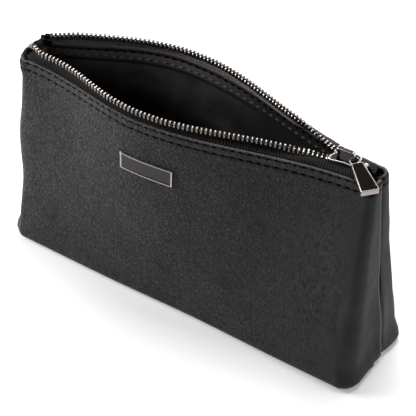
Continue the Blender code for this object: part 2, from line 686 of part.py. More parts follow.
def pull_tab(name, made_of):
    """Blank pull: a loop through the bridge and a plate that widens to its tip."""
    head = PULL_HEAD_WIDTH / 2
    tip = PULL_TIP_WIDTH / 2
    half = PULL_THICKNESS / 2
    sides = [(PULL_SHOULDER, -head), (PULL_LENGTH, -tip), (PULL_LENGTH, tip), (PULL_SHOULDER, head)]
    body = prism(name, rounded(sides, PULL_ROUND), -half, half, made_of)
    combine(body, pull_eye(made_of), "UNION")
    near = PULL_SHOULDER + PULL_RIM
    far = PULL_LENGTH - PULL_RIM
    field = [(near, PULL_RIM - head), (far, PULL_RIM - tip), (far, tip - PULL_RIM), (near, head - PULL_RIM)]
    for low, high in ((half - PULL_RECESS, 2 * half), (-2 * half, PULL_RECESS - half)):
        combine(body, prism("field", rounded(field, PULL_FIELD_ROUND), low, high, made_of), "DIFFERENCE")
    body.location = pull_pivot()
    body.rotation_euler = (Matrix.Rotation(PULL_YAW, 3, "Z") @ Matrix.Rotation(-PULL_LIFT, 3, "Y")).to_euler()
    return body


def pull_pivot():
    up = CHAIN_Z + SLIDER_TOP + PULL_PIVOT_UP
    return Vector((CLOSING_X + PULL_PIVOT_U, CHAIN_Y, up))


# ---- front plate ----------------------------------------------------------------------------
def front_plate(name, made_of):
    """Blank metal plate lying on the front wall, with a raised rim round a sunk field."""
    def spot(a, b, inset):
        return wall_point(FRONT, PLATE_X + a, (PLATE_Z + b) / RIM_HEIGHT, inset)

    def frame(shrink, inset):
        wide = PLATE_WIDTH / 2 - shrink
        high = PLATE_HEIGHT / 2 - shrink
        across = np.linspace(-wide, wide, PLATE_COLUMNS)
        return [spot(a, -high, inset) for a in across] + [spot(a, high, inset) for a in across[::-1]]

    back = -GAP
    face = -GAP - PLATE_THICKNESS
    rings = [frame(0.0, back), frame(0.0, face + PLATE_EDGE), frame(PLATE_EDGE, face)]
    rings += [frame(PLATE_RIM, face), frame(PLATE_RIM, face + PLATE_RECESS)]
    count = len(rings[0])
    points = [p for ring in rings for p in ring]
    faces = []
    for i in range(len(rings) - 1):
        for j in range(count):
            k = (j + 1) % count
            faces.append((i * count + j, i * count + k, (i + 1) * count + k, (i + 1) * count + j))
    for start in (0, (len(rings) - 1) * count):
        for k in range(PLATE_COLUMNS - 1):
            quad = (start + k, start + k + 1, start + count - k - 2, start + count - k - 1)
            faces.append(quad if start else quad[::-1])
    return add_object(name, points, faces, made_of)


def main():
    for old in list(bpy.data.objects):
        bpy.data.objects.remove(old, do_unlink=True)
    leather = material("black_grained_leather", (0.035, 0.034, 0.036), 0.0, 0.55)
    satin = material("black_satin_lining", (0.012, 0.012, 0.014), 0.0, 0.4)
    tape = material("charcoal_zip_tape", (0.04, 0.042, 0.05), 0.0, 0.85)
    gunmetal = material("gunmetal", (0.30, 0.28, 0.27), 1.0, 0.25)
    for side, word in ((FRONT, "front"), (BACK, "back")):
        leather_panel(word + "_panel", side, leather)
        lining_panel(word + "_lining", side, satin)
        zip_tape(word + "_zip_tape", side, tape)
        teeth_row(word + "_teeth_row", side, gunmetal)
        top_stop(word + "_top_stop", side, gunmetal)
    bottom_stop("bottom_stop", gunmetal)
    slider("slider_body", gunmetal)
    pull_tab("pull_tab", gunmetal)
    front_plate("front_plate", gunmetal)


main()
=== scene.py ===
"""Zipped makeup bag in soft grained leather, standing open: the dressed model, its camera and its studio."""
import math

import bpy
import numpy as np
from mathutils import Matrix, Vector, noise


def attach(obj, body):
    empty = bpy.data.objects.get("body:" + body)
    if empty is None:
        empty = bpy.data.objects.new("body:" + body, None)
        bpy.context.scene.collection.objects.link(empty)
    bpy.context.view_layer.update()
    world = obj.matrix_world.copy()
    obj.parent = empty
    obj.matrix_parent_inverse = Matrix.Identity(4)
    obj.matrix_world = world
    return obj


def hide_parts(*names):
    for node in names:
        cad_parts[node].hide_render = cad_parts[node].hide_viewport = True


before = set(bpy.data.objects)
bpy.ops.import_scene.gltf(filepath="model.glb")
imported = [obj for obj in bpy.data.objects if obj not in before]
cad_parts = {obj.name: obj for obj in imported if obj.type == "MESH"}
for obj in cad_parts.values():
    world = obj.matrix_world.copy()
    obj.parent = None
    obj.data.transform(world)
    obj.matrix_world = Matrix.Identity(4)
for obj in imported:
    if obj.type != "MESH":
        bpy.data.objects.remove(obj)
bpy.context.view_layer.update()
bpy.ops.object.select_all(action="DESELECT")


# ---- Camera ---------------------------------------------------------------------------------
# A long lens that looks down past the front right corner of the bag into its open mouth. Here and
# below the bag's sizes are in millimetres, and become metres where a mesh is made.
mm = 0.001
looking_at = Vector((2.64 * mm, 0.0, 55.16 * mm))
lens_away = 0.989
azimuth = math.radians(33.6)
elevation = math.radians(43.4)
towards_lens = Vector((
    math.sin(azimuth) * math.cos(elevation), -math.cos(azimuth) * math.cos(elevation), math.sin(elevation)))
bpy.ops.object.camera_add(
    location=looking_at + towards_lens * lens_away, rotation=towards_lens.to_track_quat("Z", "Y").to_euler())
camera = bpy.context.object
camera.data.sensor_width = 36.0
camera.data.lens = 162.2
bpy.context.scene.camera = camera


# ---- Leather walls --------------------------------------------------------------------------
# Front and back are soft pebbled hide. Each is turned in along the mouth, where two rows of
# stitching hold it, rolls into the side seams, and folds under to make half of the boxed base.
FRONT = -1
BACK = 1
both_walls = ((FRONT, "front"), (BACK, "back"))
rim_z = 123.8
rim_drop_left = {FRONT: 2.4, BACK: 0.5}
base_half_width = 112.5
rim_half_width = {1: 102.0, -1: 103.0}
corner_flare = 3.5
corner_flare_height = 0.13
base_depth = {FRONT: 29.5, BACK: 26.0}
base_corner = 9.0
rim_corner = 4.8
fold_radius = 5.0
base_seam_inset = 3.0
seam_at_base = {1: 2.0, -1: 0.0}
seam_at_rim = {1: 2.8, -1: -8.5}
belly = 1.2
mouth_reach = 105.0
mouth_left = {FRONT: 18.5, BACK: 1.5}
mouth_right = {FRONT: 4.5, BACK: 11.8}
mouth_fullest = {FRONT: 28.6, BACK: 31.4}
mouth_fullest_at = {FRONT: -19.0, BACK: -28.5}
mouth_curve_left = {FRONT: 2.5, BACK: 1.33}
mouth_curve_right = {FRONT: 2.5, BACK: 2.0}
leather = 1.2
hem = 2.2
hem_depth = 10.0
hem_roll = 1.1
seam_roll = 1.3
stitch_rows = (1.05, 5.05)
wall_depths = np.concatenate([np.linspace(1.1, 9.0, 24), np.linspace(10.5, 117.0, 44)])
beyond_map = 130.0

# how far the soft hide leaves that plain form
front_foot_fuller = 1.35
right_foot_pinch = {FRONT: 2.4, BACK: 0.8}
left_foot_pinch = 1.8
left_end_pinch = 0.7
back_waist_pinch = 1.7
back_seam_tuck = 1.1
mouth_corner_bulge = 1.5
mouth_corner_lift = 1.9
right_seam_out = 1.8
right_seam_foot_in = 1.2
channel_deep = 0.5
hem_puff = 0.35
under_hem_puff = 0.22
slack_deep = 0.9
slack_fine = 0.3
crease_centre = (121.0, 46.0)
creases = ((26.0, 0.42), (35.0, 0.4), (43.0, 0.3), (52.0, 0.2))


def soft_step(value, start, end):
    """0 before start, 1 after end, with a soft change between."""
    share = np.clip((value - start) / (end - start), 0.0, 1.0)
    return share * share * (3.0 - 2.0 * share)


def soft_band(value, start, full, fading, end):
    """1 from full to fading, and 0 before start and after end."""
    return soft_step(value, start, full) * (1 - soft_step(value, fading, end))


def bell(value, middle, wide):
    """1 at the middle, fading away on both sides."""
    return np.exp(-((value - middle) / wide) ** 2)


def rim_stand(side, x):
    """How far the rim stands from the middle plane at x."""
    share = np.clip((x + mouth_reach) / (2 * mouth_reach), 0.0, 1.0)
    ends = mouth_left[side] * (1 - share) + mouth_right[side] * share
    peak = mouth_fullest_at[side]
    middle = (peak + mouth_reach) / (2 * mouth_reach)
    fullness = mouth_fullest[side] - (mouth_left[side] * (1 - middle) + mouth_right[side] * middle)
    away = np.where(x < peak, (peak - x) / (peak + mouth_reach), (x - peak) / (mouth_reach - peak))
    power = np.where(x < peak, mouth_curve_left[side], mouth_curve_right[side])
    return ends + fullness * np.maximum(np.cos(0.5 * math.pi * np.minimum(away, 1.0)), 0.0) ** power


def wall_y(side, x, t):
    """Outer surface of the long wall at x, at share t of the rim's height."""
    stand = base_depth[side] * (1 - t) + rim_stand(side, x) * t
    return side * (stand + belly * math.sin(math.pi * t))


def rim_height(side, x):
    """The rim sinks a little towards its open left end."""
    return rim_z - rim_drop_left[side] * soft_step(-x, 35, 80)


def half_width(end, t):
    """Half the bag's length at share t of its height: the boxed foot stands out."""
    flare = corner_flare * (1 - soft_step(t, 0.0, corner_flare_height))
    return (base_half_width - corner_flare) * (1 - t) + rim_half_width[end] * t + flare


def wall_plan(side, t):
    """Plan of a wall from its left seam to its right one, and each point's way from its seam."""
    radius = base_corner * (1 - t) + rim_corner * t
    flat = (np.arange(10) / 10.0) ** 1.8
    turn = np.arange(10) / 10.0 * 0.5 * math.pi
    lines = []
    ways = []
    for end in (-1, 1):
        width = half_width(end, t)
        seam = seam_at_base[end] * (1 - t) + seam_at_rim[end] * t + side * 0.05
        start = wall_y(side, end * (width - radius), t) - side * radius
        x = np.concatenate([np.full(10, end * width), end * (width - radius + radius * np.cos(turn))])
        y = np.concatenate([seam + (start - seam) * flat, start + side * radius * np.sin(turn)])
        lines.append(np.column_stack([x, y]))
        ways.append(np.concatenate([abs(start - seam) * flat, abs(start - seam) + radius * turn]))
    x = np.linspace(-(half_width(-1, t) - radius), half_width(1, t) - radius, 170)
    line = np.concatenate([lines[0], np.column_stack([x, wall_y(side, x, t)]), lines[1][::-1]])
    return line, np.concatenate([ways[0], np.full(170, 1000.0), ways[1][::-1]])


def hide_push(side, points, way):
    """How the soft bag stands off its plain form: fuller at the foot and at the left corner of the
    mouth, pinched at its left end, at both ends of the foot and at the back beside the right seam."""
    x, z = points[:, 0], points[:, 2]
    foot_right = soft_step(x, 98, 104) * (1 - soft_step(z, 6, 28))
    push = -left_end_pinch * soft_step(-x, 94, 102) * soft_band(z, 14, 34, 84, 108)
    push -= left_foot_pinch * soft_step(-x, 102, 107) * (1 - soft_step(z, 14, 34))
    if side == FRONT:
        beside_seam = soft_band(way, 0, 4, 9, 17)
        push -= right_foot_pinch[side] * foot_right * soft_band(way, 0, 13, 24, 40)
        push += front_foot_fuller * (1 - soft_step(z, 4, 48)) * (way > 8) * (1 - bell(x, 8, 42))
        corner = soft_step(-x, 95, 101) * soft_step(z, 108, 118)
        push += mouth_corner_bulge * corner * (0.35 + 0.65 * beside_seam)
    else:
        push -= right_foot_pinch[side] * foot_right * bell(way, 0, 8)
        push -= back_waist_pinch * soft_step(x, 92, 101) * bell(z, 68, 27)
        push -= back_seam_tuck * (x > 0) * bell(way, 0, 2.2)
    return push


def unit(vectors):
    """Rows of vectors, each brought to length 1."""
    return vectors / np.linalg.norm(vectors, axis=1, keepdims=True)


def length_along(points):
    """Length of a line of points up to each of them."""
    return np.concatenate([[0.0], np.cumsum(np.linalg.norm(np.diff(points, axis=0), axis=1))])


def wall_row(side, t):
    """Points of the wall's plain surface at share t of the height, with normals and seam ways."""
    def points(share):
        """The wall's row before it is pushed, and its ways from the seams."""
        line, way = wall_plan(side, share)
        high = rim_height(side, line[:, 0])
        if side == FRONT:
            high = high + mouth_corner_lift * (1 - soft_step(way, 0, 9)) * (line[:, 0] < 0)
        high = share * high
        out = right_seam_out * soft_band(high, 5, 13, 27, 58)
        out -= right_seam_foot_in * (1 - soft_step(high, 3, 10))
        line[:, 0] += out * (line[:, 0] > 0) * bell(way, 0, 7)
        return np.column_stack([line, high]), way

    middle, way = points(t)
    up = points(t + 0.004)[0] - points(t - 0.004)[0]
    normal = unit(-side * np.cross(np.gradient(middle, axis=0), up))
    return middle + normal * hide_push(side, middle, way)[:, None], normal, way


def fold_row(side, angle, inset):
    """Points of the wall turning under into the base, inset below its surface, and seam ways."""
    line, normal, way = wall_row(side, fold_radius / rim_z)
    flat = unit(normal * (1, 1, 0))
    at_seam = (line[:, :1] > 0) * bell(way[:, None], 0, 6)
    flat = unit(flat * (1 - at_seam) + np.array((1.0, 0.0, 0.0)) * at_seam)
    line = line + flat * ((fold_radius - inset) * math.cos(angle) - fold_radius)
    line[:, 2] = fold_radius - (fold_radius - inset) * math.sin(angle)
    return line, way


def base_row(side, share, inset):
    """Points of the flat base between the fold and the seam along its middle, and seam ways."""
    edge, way = fold_row(side, 0.5 * math.pi, inset)
    along = length_along(edge[:, :2])
    along = along / along[-1]
    reach = base_half_width - fold_radius - base_seam_inset
    seam = edge[0, 1] + (edge[-1, 1] - edge[0, 1]) * along
    middle = np.column_stack([reach * (2 * along - 1), seam, edge[:, 2]])
    return edge * (1 - share) + middle * share, way


def hide_lie(side, points, depth):
    """How the hide lies over its plain surface: sewn channels, puffed hem, slack and creases."""
    lie = np.zeros(len(points))
    if depth < 14:
        first, second = stitch_rows
        lie -= channel_deep * (bell(depth, first, 0.6) + bell(depth, second, 0.6))
        between = (depth - first) / (second - first)
        if 0 < between < 1:
            lie += hem_puff * math.sin(math.pi * between)
        lie += under_hem_puff * bell(depth, second + 1.9, 1.5)
    loose = soft_step(depth, 5, 30) * soft_step(rim_z - depth, 0, 30)
    for i, (x, y, z) in enumerate(points):
        spot = Vector((x, y * 2, z)) * mm
        wave = noise.noise(spot * 26 + Vector((3.1, 7.7, side)))
        lie[i] += slack_deep * (1 + soft_step(-x, 40, 95)) * loose * wave
        lie[i] += slack_fine * loose * noise.noise(spot * 75 + Vector((9.3, 1.2, side)))
        if side == FRONT and y < 0:
            from_centre = math.hypot(x - crease_centre[0], z - crease_centre[1])
            fade = soft_step(x, 70, 92) * bell(z, 52, 22)
            for ring, deep in creases:
                lie[i] -= deep * fade * bell(from_centre, ring, 1.5)
    return lie


def laid_grid(name, rows, map_of=None):
    """A grid primitive with its points laid out in rows, and a map from each row and column."""
    rows = np.array(rows) * mm
    count = rows.shape[1]
    bpy.ops.mesh.primitive_grid_add(x_subdivisions=count - 1, y_subdivisions=rows.shape[0] - 1)
    piece = bpy.context.object
    piece.name = piece.data.name = name
    piece.data.vertices.foreach_set("co", rows.reshape(-1))
    if map_of is not None:
        places = piece.data.uv_layers[0].data
        for loop in piece.data.loops:
            places[loop.index].uv = map_of(*divmod(loop.vertex_index, count))
    return piece


def pick_open_edges():
    """Leaves just the edges selected where a mesh in edit mode is open."""
    bpy.ops.mesh.select_all(action="DESELECT")
    bpy.ops.mesh.select_mode(type="EDGE")
    bpy.ops.mesh.select_non_manifold(extend=False, use_wire=False, use_multi_face=False, use_verts=False)


def close_up(piece, angle=40.0):
    """Merges meeting edges, fills the open ends, turns the faces out and smooths them."""
    bpy.ops.object.select_all(action="DESELECT")
    piece.select_set(True)
    bpy.context.view_layer.objects.active = piece
    bpy.ops.object.mode_set(mode="EDIT")
    bpy.ops.mesh.select_all(action="SELECT")
    bpy.ops.mesh.remove_doubles(threshold=0.002 * mm)
    pick_open_edges()
    bpy.ops.mesh.fill_holes(sides=0)
    bpy.ops.mesh.select_all(action="SELECT")
    bpy.ops.mesh.normals_make_consistent(inside=False)
    bpy.ops.mesh.select_mode(type="VERT")
    bpy.ops.mesh.select_all(action="DESELECT")
    bpy.ops.object.mode_set(mode="OBJECT")
    bpy.ops.object.transform_apply(location=True, rotation=True, scale=True)
    bpy.ops.object.shade_smooth_by_angle(angle=math.radians(angle))
    piece.select_set(False)
    return piece


def dress(piece, materials, body, slot, *nodes):
    """Gives a finished piece its materials and its body, and hides the nodes it stands for; its slot is not
    used.
    """
    marks = [face.material_index for face in piece.data.polygons]
    piece.data.materials.clear()
    for material in materials if isinstance(materials, tuple) else (materials,):
        piece.data.materials.append(material)
    piece.data.polygons.foreach_set("material_index", marks)
    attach(piece, body)
    if nodes:
        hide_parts(*nodes)


class Finish:
    """A material, its shader and its object coordinates, with nodes that link up as they are made."""

    def __init__(self, name, colour, metallic, roughness, specular=0.5, sheen=0.0):
        self.made = bpy.data.materials.new(name)
        self.made.use_nodes = True
        self.tree = self.made.node_tree
        self.shader = self.tree.nodes["Principled BSDF"]
        self.place = self.node("TexCoord").outputs["Object"]
        for level, value in (("Base Color", colour), ("Metallic", metallic), ("Roughness", roughness),
                             ("Specular IOR Level", specular), ("Sheen Weight", sheen)):
            self.set(level, value)

    def feed(self, socket, value):
        """Links a socket to another one, or gives it its own value."""
        if isinstance(value, bpy.types.NodeSocket):
            self.tree.links.new(value, socket)
        else:
            socket.default_value = (*value, 1.0) if socket.type == "RGBA" else value

    def set(self, level, value):
        """Feeds one of the shader's own inputs."""
        self.feed(self.shader.inputs[level], value)

    def node(self, kind, *values, **settings):
        """A node with its properties set and its inputs fed, by name or in their order."""
        node = self.tree.nodes.new("ShaderNode" + kind)
        for key, value in settings.items():
            if key in node.inputs:
                self.feed(node.inputs[key], value)
            else:
                setattr(node, key, value)
        for socket, value in zip(node.inputs, values):
            self.feed(socket, value)
        return node

    def maths(self, operation, *values):
        """A maths node on one to three values or sockets."""
        return self.node("Math", *values, operation=operation).outputs[0]

    def times(self, first, second):
        """One value or socket times another."""
        return self.maths("MULTIPLY", first, second)

    def split(self, vector):
        """The three parts of a vector."""
        return self.node("SeparateXYZ", vector).outputs

    def mapped(self):
        """The two parts of the piece's own map."""
        return self.split(self.node("UVMap").outputs["UV"])[:2]

    def noise(self, scale, detail, rough=0.5):
        """Noise over the piece, from 0 to 1."""
        noisy = self.node("TexNoise", self.place, Scale=scale, Detail=detail, Roughness=rough)
        return noisy.outputs["Fac"]

    def ramp(self, factor, *stops):
        """A colour ramp of grey or coloured stops, each a place and a colour."""
        node = self.node("ValToRGB", factor)
        while len(node.color_ramp.elements) < len(stops):
            node.color_ramp.elements.new(0.5)
        for element, (place, colour) in zip(node.color_ramp.elements, stops):
            element.position = place
            element.color = (*colour, 1.0) if isinstance(colour, tuple) else (colour, colour, colour, 1.0)
        return node.outputs["Color"]

    def mix(self, factor, first, second, blend="MIX"):
        """A colour mix of two sockets or colours."""
        node = self.node("Mix", factor, data_type="RGBA", blend_type=blend)
        self.feed(node.inputs[6], first)
        self.feed(node.inputs[7], second)
        return node.outputs[2]

    def line(self, value, middle, wide):
        """1 along a line where a value is at its middle, and 0 a width away from it."""
        away = self.maths("ABSOLUTE", self.maths("SUBTRACT", value, middle))
        return self.maths("MAXIMUM", self.maths("SUBTRACT", 1.0, self.maths("DIVIDE", away, wide)), 0.0)

    def bump(self, height, strength, distance, below=None):
        """Bump from a height, over another bump if one is given."""
        node = self.node("Bump", Strength=strength, Distance=distance, Height=height)
        if below is not None:
            self.feed(node.inputs["Normal"], below)
        self.set("Normal", node.outputs["Normal"])
        return node.outputs["Normal"]


def leather_finish():
    """Dyed pebbled hide: rounded cells with fine creases between, drawn into short curved strokes low on the
    right, cloudy in colour and sheen, with painted shade in the creases, the sewn channels, beside the seam
    and inside the hem, and painted highlights on the cells, the puffed hem and along edges."""
    skin = Finish("black_grained_leather", (0.03, 0.028, 0.028), 0.0, 0.5, specular=0.24)
    x, y, z = skin.split(skin.place)
    way, under_rim = skin.mapped()

    # rounded cells, and finer ones between
    warp = skin.node("TexNoise", skin.place, Scale=330.0, Detail=3.0, Roughness=0.5).outputs["Color"]
    warped = skin.node("VectorMath", warp, (0.0036, 0.0036, 0.0036), skin.place, operation="MULTIPLY_ADD")
    shifted = warped.outputs[0]
    cells = skin.node("TexVoronoi", shifted, feature="DISTANCE_TO_EDGE", Scale=430.0).outputs["Distance"]
    cell = skin.maths("MULTIPLY_ADD", skin.noise(760.0, 3.0, 0.6), 0.5, cells)
    pebble = skin.ramp(cell, (0.2, 0.0), (0.36, 0.55), (0.66, 1.0))
    small = skin.node("TexVoronoi", shifted, feature="DISTANCE_TO_EDGE", Scale=1150.0).outputs["Distance"]
    fine = skin.ramp(small, (0.0, 0.3), (0.3, 1.0))

    # strokes that curve round a point beyond the low right corner
    right = skin.maths("SUBTRACT", x, 0.128)
    high = skin.maths("SUBTRACT", z, 0.05)
    ring = skin.maths("SQRT", skin.maths("ADD", skin.times(right, right), skin.times(high, high)))
    turn = skin.maths("ARCTAN2", high, right)
    polar = skin.node("CombineXYZ", skin.times(ring, 620.0), skin.times(turn, 15.0), skin.times(y, 60.0))
    stroke = skin.node("TexNoise", polar.outputs[0], Scale=1.0, Detail=3.0, Roughness=0.6, Distortion=0.5)
    drawn = skin.ramp(stroke.outputs["Fac"], (0.3, 0.0), (0.48, 0.62), (0.66, 1.0))
    near = skin.maths("ADD", ring, skin.times(skin.noise(17.0, 2.0), 0.06))
    near = skin.ramp(skin.times(skin.maths("SUBTRACT", near, 0.05), 10.0), (0.15, 1.0), (0.75, 0.0))
    near = skin.times(near, skin.ramp(skin.times(x, 5.0), (0.46, 1.0), (0.51, 0.0)))

    # the right end is pulled smooth
    calm = skin.ramp(skin.times(x, 5.0), (0.43, 0.0), (0.51, 0.93))
    grain = skin.mix(calm, skin.mix(near, pebble, drawn), (0.62, 0.62, 0.62))
    wide = skin.noise(190.0, 4.0, 0.6)
    lumps = skin.mix(calm, wide, (0.5, 0.5, 0.5))

    # cloudy dye
    tone = skin.maths("MULTIPLY_ADD", skin.noise(34.0, 5.0, 0.62), 0.7, skin.times(wide, 0.4))
    colour = skin.ramp(tone, (0.32, (0.0178, 0.0168, 0.017)), (0.76, (0.033, 0.0312, 0.0316)))
    brown = skin.ramp(skin.noise(95.0, 3.0), (0.55, 0.0), (0.74, 0.4))
    colour = skin.mix(brown, colour, (0.033, 0.025, 0.0235))
    # the grain's creases are darkened and its cells lightened in the colour: painted shade and painted
    # highlight
    colour = skin.mix(1.0, colour, skin.ramp(grain, (0.0, 0.42), (0.55, 0.9), (1.0, 1.3)), blend="MULTIPLY")

    # painted shade in the sewn channels, a painted highlight on the puffed hem between, painted highlights
    # along the rim's roll, above the base fold and on the front hide's edge at the seam, and painted shade
    # beside the seam, under the base fold and inside the hem
    # painted shade darkens each sewn channel
    for row in stitch_rows:
        colour = skin.mix(skin.times(skin.line(under_rim, row, 0.8), 0.4), colour, (0.007, 0.0068, 0.007))
    # a painted highlight lightens the puffed hem between the rows
    colour = skin.mix(skin.times(skin.line(under_rim, 3.1, 2.1), 0.4), colour, (0.05, 0.048, 0.049))
    # painted highlights along the rim's roll and above the base fold
    painted_edge_highlight = skin.maths("ADD", skin.line(under_rim, -0.7, 0.9), skin.line(under_rim, 119.6, 1.0))
    painted_edge_highlight = skin.times(skin.maths("MINIMUM", painted_edge_highlight, 1.0), 0.75)
    colour = skin.mix(painted_edge_highlight, colour, (0.09, 0.083, 0.08))
    # a painted highlight along the front hide's edge at the seam
    painted_edge_highlight = skin.maths("MINIMUM", skin.times(skin.line(way, 1.3, 1.0), 1.5), 0.9)
    colour = skin.mix(painted_edge_highlight, colour, (0.115, 0.115, 0.122))
    # painted shade in the tuck beside the seam on the back hide, and in a line under the base fold
    tuck = skin.maths("MINIMUM", skin.times(skin.line(way, -0.9, 2.1), 1.6), 0.8)
    tuck = skin.maths("MAXIMUM", tuck, skin.times(skin.line(under_rim, 122.8, 1.7), 0.9))
    colour = skin.mix(tuck, colour, (0.006, 0.006, 0.0063))
    # painted shade on the inner face of the turned-in hem
    inside = skin.ramp(skin.maths("MULTIPLY_ADD", under_rim, 0.1, 1.0), (0.62, 1.0), (0.82, 0.0))
    skin.set("Base Color", skin.mix(inside, colour, (0.008, 0.0078, 0.008)))

    sheen = skin.ramp(tone, (0.25, 0.56), (0.8, 0.4))
    skin.set("Roughness", skin.mix(skin.maths("SUBTRACT", 1.0, grain), sheen, (0.8, 0.8, 0.8)))
    soft = skin.bump(lumps, 0.6, 0.0012)
    coarse = skin.bump(grain, 0.9, 0.0004, soft)
    skin.bump(fine, 0.3, 0.00012, coarse)
    return skin.made


def hide_row(side, depth):
    """Outer points and normals of the hide at a depth under the rim, and their way from a seam."""
    points, normals, way = wall_row(side, 1 - depth / rim_z)
    roll = np.clip(seam_roll - way, 0.0, None)
    roll = seam_roll - np.sqrt(np.maximum(seam_roll ** 2 - roll ** 2, 0.0))
    lie = hide_lie(side, points, depth) - np.minimum(roll, leather)
    return points + normals * lie[:, None], normals, way


def leather_wall(name, side):
    """One wall of hide with its half of the base, as one closed skin mapped by way and depth."""
    rows = []
    ways = []
    depths = []

    def lay(points, way, depth):
        """Adds a row of points with its place on the map."""
        rows.append(points)
        ways.append(way)
        depths.append(depth)

    for depth in (hem_depth + 1, hem_depth - 1, 5):
        points, normals, way = wall_row(side, 1 - depth / rim_z)
        lay(points - normals * (hem if depth < hem_depth else leather), way, -depth - 3.0)
    for angle in np.radians(np.arange(180.0, 0.0, -18.0)):
        points, normals, way = wall_row(side, 1 - hem_roll * (1 - math.sin(angle)) / rim_z)
        lay(points - normals * hem_roll * (1 - math.cos(angle)), way, 1.0 - hem_roll * angle)
    for depth in wall_depths:
        points, normals, way = hide_row(side, depth)
        lay(points, way, depth)
    for angle in np.radians((12.0, 26.0, 40.0, 55.0, 72.0, 90.0)):
        lay(*fold_row(side, angle, 0.0), 118.0 + 5.0 * angle)
    for share, inset in ((0.15, 0.0), (0.5, 0.0), (1.0, 0.0), (1.0, leather), (0.0, leather)):
        lay(*base_row(side, share, inset), beyond_map)
    for angle in np.radians((60.0, 30.0)):
        lay(*fold_row(side, angle, leather), beyond_map)
    for depth in (118.0, 112.0, 100.0, 80.0, 60.0, 40.0, 22.0):
        points, normals, way = wall_row(side, 1 - depth / rim_z)
        lay(points - normals * leather, way, beyond_map)
    lay(rows[0], way, beyond_map)
    skin = laid_grid(name, rows, lambda row, column: (-side * min(ways[row][column], 50.0), depths[row]))
    return close_up(skin)


hide = leather_finish()
dress(leather_wall("leather_front", FRONT), hide, "bag", "leather", "front_panel")
dress(leather_wall("leather_back", BACK), hide, "bag", "leather", "back_panel")


# ---- Rim stitching --------------------------------------------------------------------------
# Two rows of waxed black thread run round the mouth. Each stitch is a short twisted length that
# dips into its needle holes at both ends.
stitch_pitch = 4.6
stitch_length = 2.9
stitch_taper = 0.45
stitch_dip = 0.42
stitch_margin = 2.0
thread_radius = 0.6
thread_over_hide = 0.15
thread_over_lining = 0.1


def thread_finish(name, colour):
    """Twisted waxed thread."""
    thread = Finish(name, colour, 0.0, 0.8, specular=0.04)
    thread.bump(thread.noise(3200.0, 2.0), 0.4, 0.0001)
    return thread.made


def one_stitch(name):
    """A thread along X that is thickest in its middle and sinks at both ends."""
    bpy.ops.mesh.primitive_cylinder_add(
        vertices=8, radius=thread_radius * mm, depth=stitch_length * mm, end_fill_type="NGON")
    stitch = bpy.context.object
    stitch.name = name
    bpy.ops.object.mode_set(mode="EDIT")
    bpy.ops.mesh.select_all(action="SELECT")
    bpy.ops.transform.rotate(value=0.5 * math.pi, orient_axis="Y", center_override=(0, 0, 0))
    for cut in (-0.3, 0.0, 0.3):
        bpy.ops.mesh.select_all(action="SELECT")
        bpy.ops.mesh.bisect(plane_co=(cut * stitch_length * mm, 0, 0), plane_no=(1, 0, 0))
    bpy.ops.object.mode_set(mode="OBJECT")
    for vertex in stitch.data.vertices:
        sunk = (abs(vertex.co.x) / (0.5 * stitch_length * mm)) ** 3
        vertex.co.y *= 1.0 - stitch_taper * sunk
        vertex.co.z = vertex.co.z * (1.0 - stitch_taper * sunk) - stitch_dip * mm * sunk
    stitch.select_set(False)
    return stitch


def set_copies(name, pattern, places):
    """Copies of a pattern piece, each set by its own matrix, joined as one piece."""
    points = np.empty(len(pattern.data.vertices) * 3)
    pattern.data.vertices.foreach_get("co", points)
    points = np.column_stack([points.reshape(-1, 3), np.ones(len(points) // 3)])
    faces = [list(face.vertices) for face in pattern.data.polygons]
    all_points = np.concatenate([(points @ np.array(place).T)[:, :3] for place in places])
    all_faces = [[v + k * len(points) for v in face] for k in range(len(places)) for face in faces]
    mesh = bpy.data.meshes.new(name)
    mesh.from_pydata(all_points, [], all_faces)
    piece = bpy.data.objects.new(name, mesh)
    bpy.context.collection.objects.link(piece)
    bpy.context.view_layer.objects.active = piece
    piece.select_set(True)
    bpy.ops.object.shade_smooth_by_angle(angle=math.radians(50))
    piece.select_set(False)
    return piece


def frame_at(point, along, out):
    """Matrix with X along a line and Z out of the surface."""
    x = Vector(along).normalized()
    z = Vector(out)
    z = (z - x * z.dot(x)).normalized()
    place = Matrix((x, z.cross(x), z)).transposed().to_4x4()
    place.translation = point * mm
    return place


def spaced_frames(points, outs):
    """Frames for stitches set at even steps along a line of points."""
    lengths = length_along(points)
    count = int((lengths[-1] - 2 * stitch_margin) / stitch_pitch)
    start = 0.5 * (lengths[-1] - count * stitch_pitch)

    def at(length, values):
        """The value at a length along the line."""
        return Vector([np.interp(length, lengths, values[:, i]) for i in range(3)])

    frames = []
    for length in [start + k * stitch_pitch for k in range(count + 1)]:
        along = at(length + 0.3, points) - at(length - 0.3, points)
        frames.append(frame_at(at(length, points), along, at(length, outs)))
    return frames


def sew(name, points, outs, rise, thread, slot):
    """A row of stitches along a line of points, a little way out of the surface."""
    dress(set_copies(name, stitch, spaced_frames(points + outs * rise, outs)), thread, "bag", slot)


black_thread = thread_finish("black_waxed_thread", (0.0016, 0.0016, 0.0018))
stitch = one_stitch("stitch_pattern")
for side, word in both_walls:
    for number, depth in enumerate(stitch_rows, 1):
        points, normals, way = hide_row(side, depth)
        sew(f"{word}_stitching_{number}", points, normals, thread_over_hide, black_thread, "leather")


# ---- Lining ---------------------------------------------------------------------------------
# Black satin, turned over at the top and sewn to the tape by two rows of its own, the lower one
# in greyer bobbin thread. Below them it hangs close to the hide in soft vertical pulls.
lining = 0.6
lining_drop = 2.2
lining_at_hem = 3.5
lining_below = 1.5
lining_loft = 0.25
lining_rows = (0.6, 4.7)
lining_channel = 0.22
lining_pulls = 0.9
lining_folds = 0.8
lining_depths = np.concatenate([np.linspace(3.3, 12.8, 24), np.linspace(14.0, 118.0, 42)])


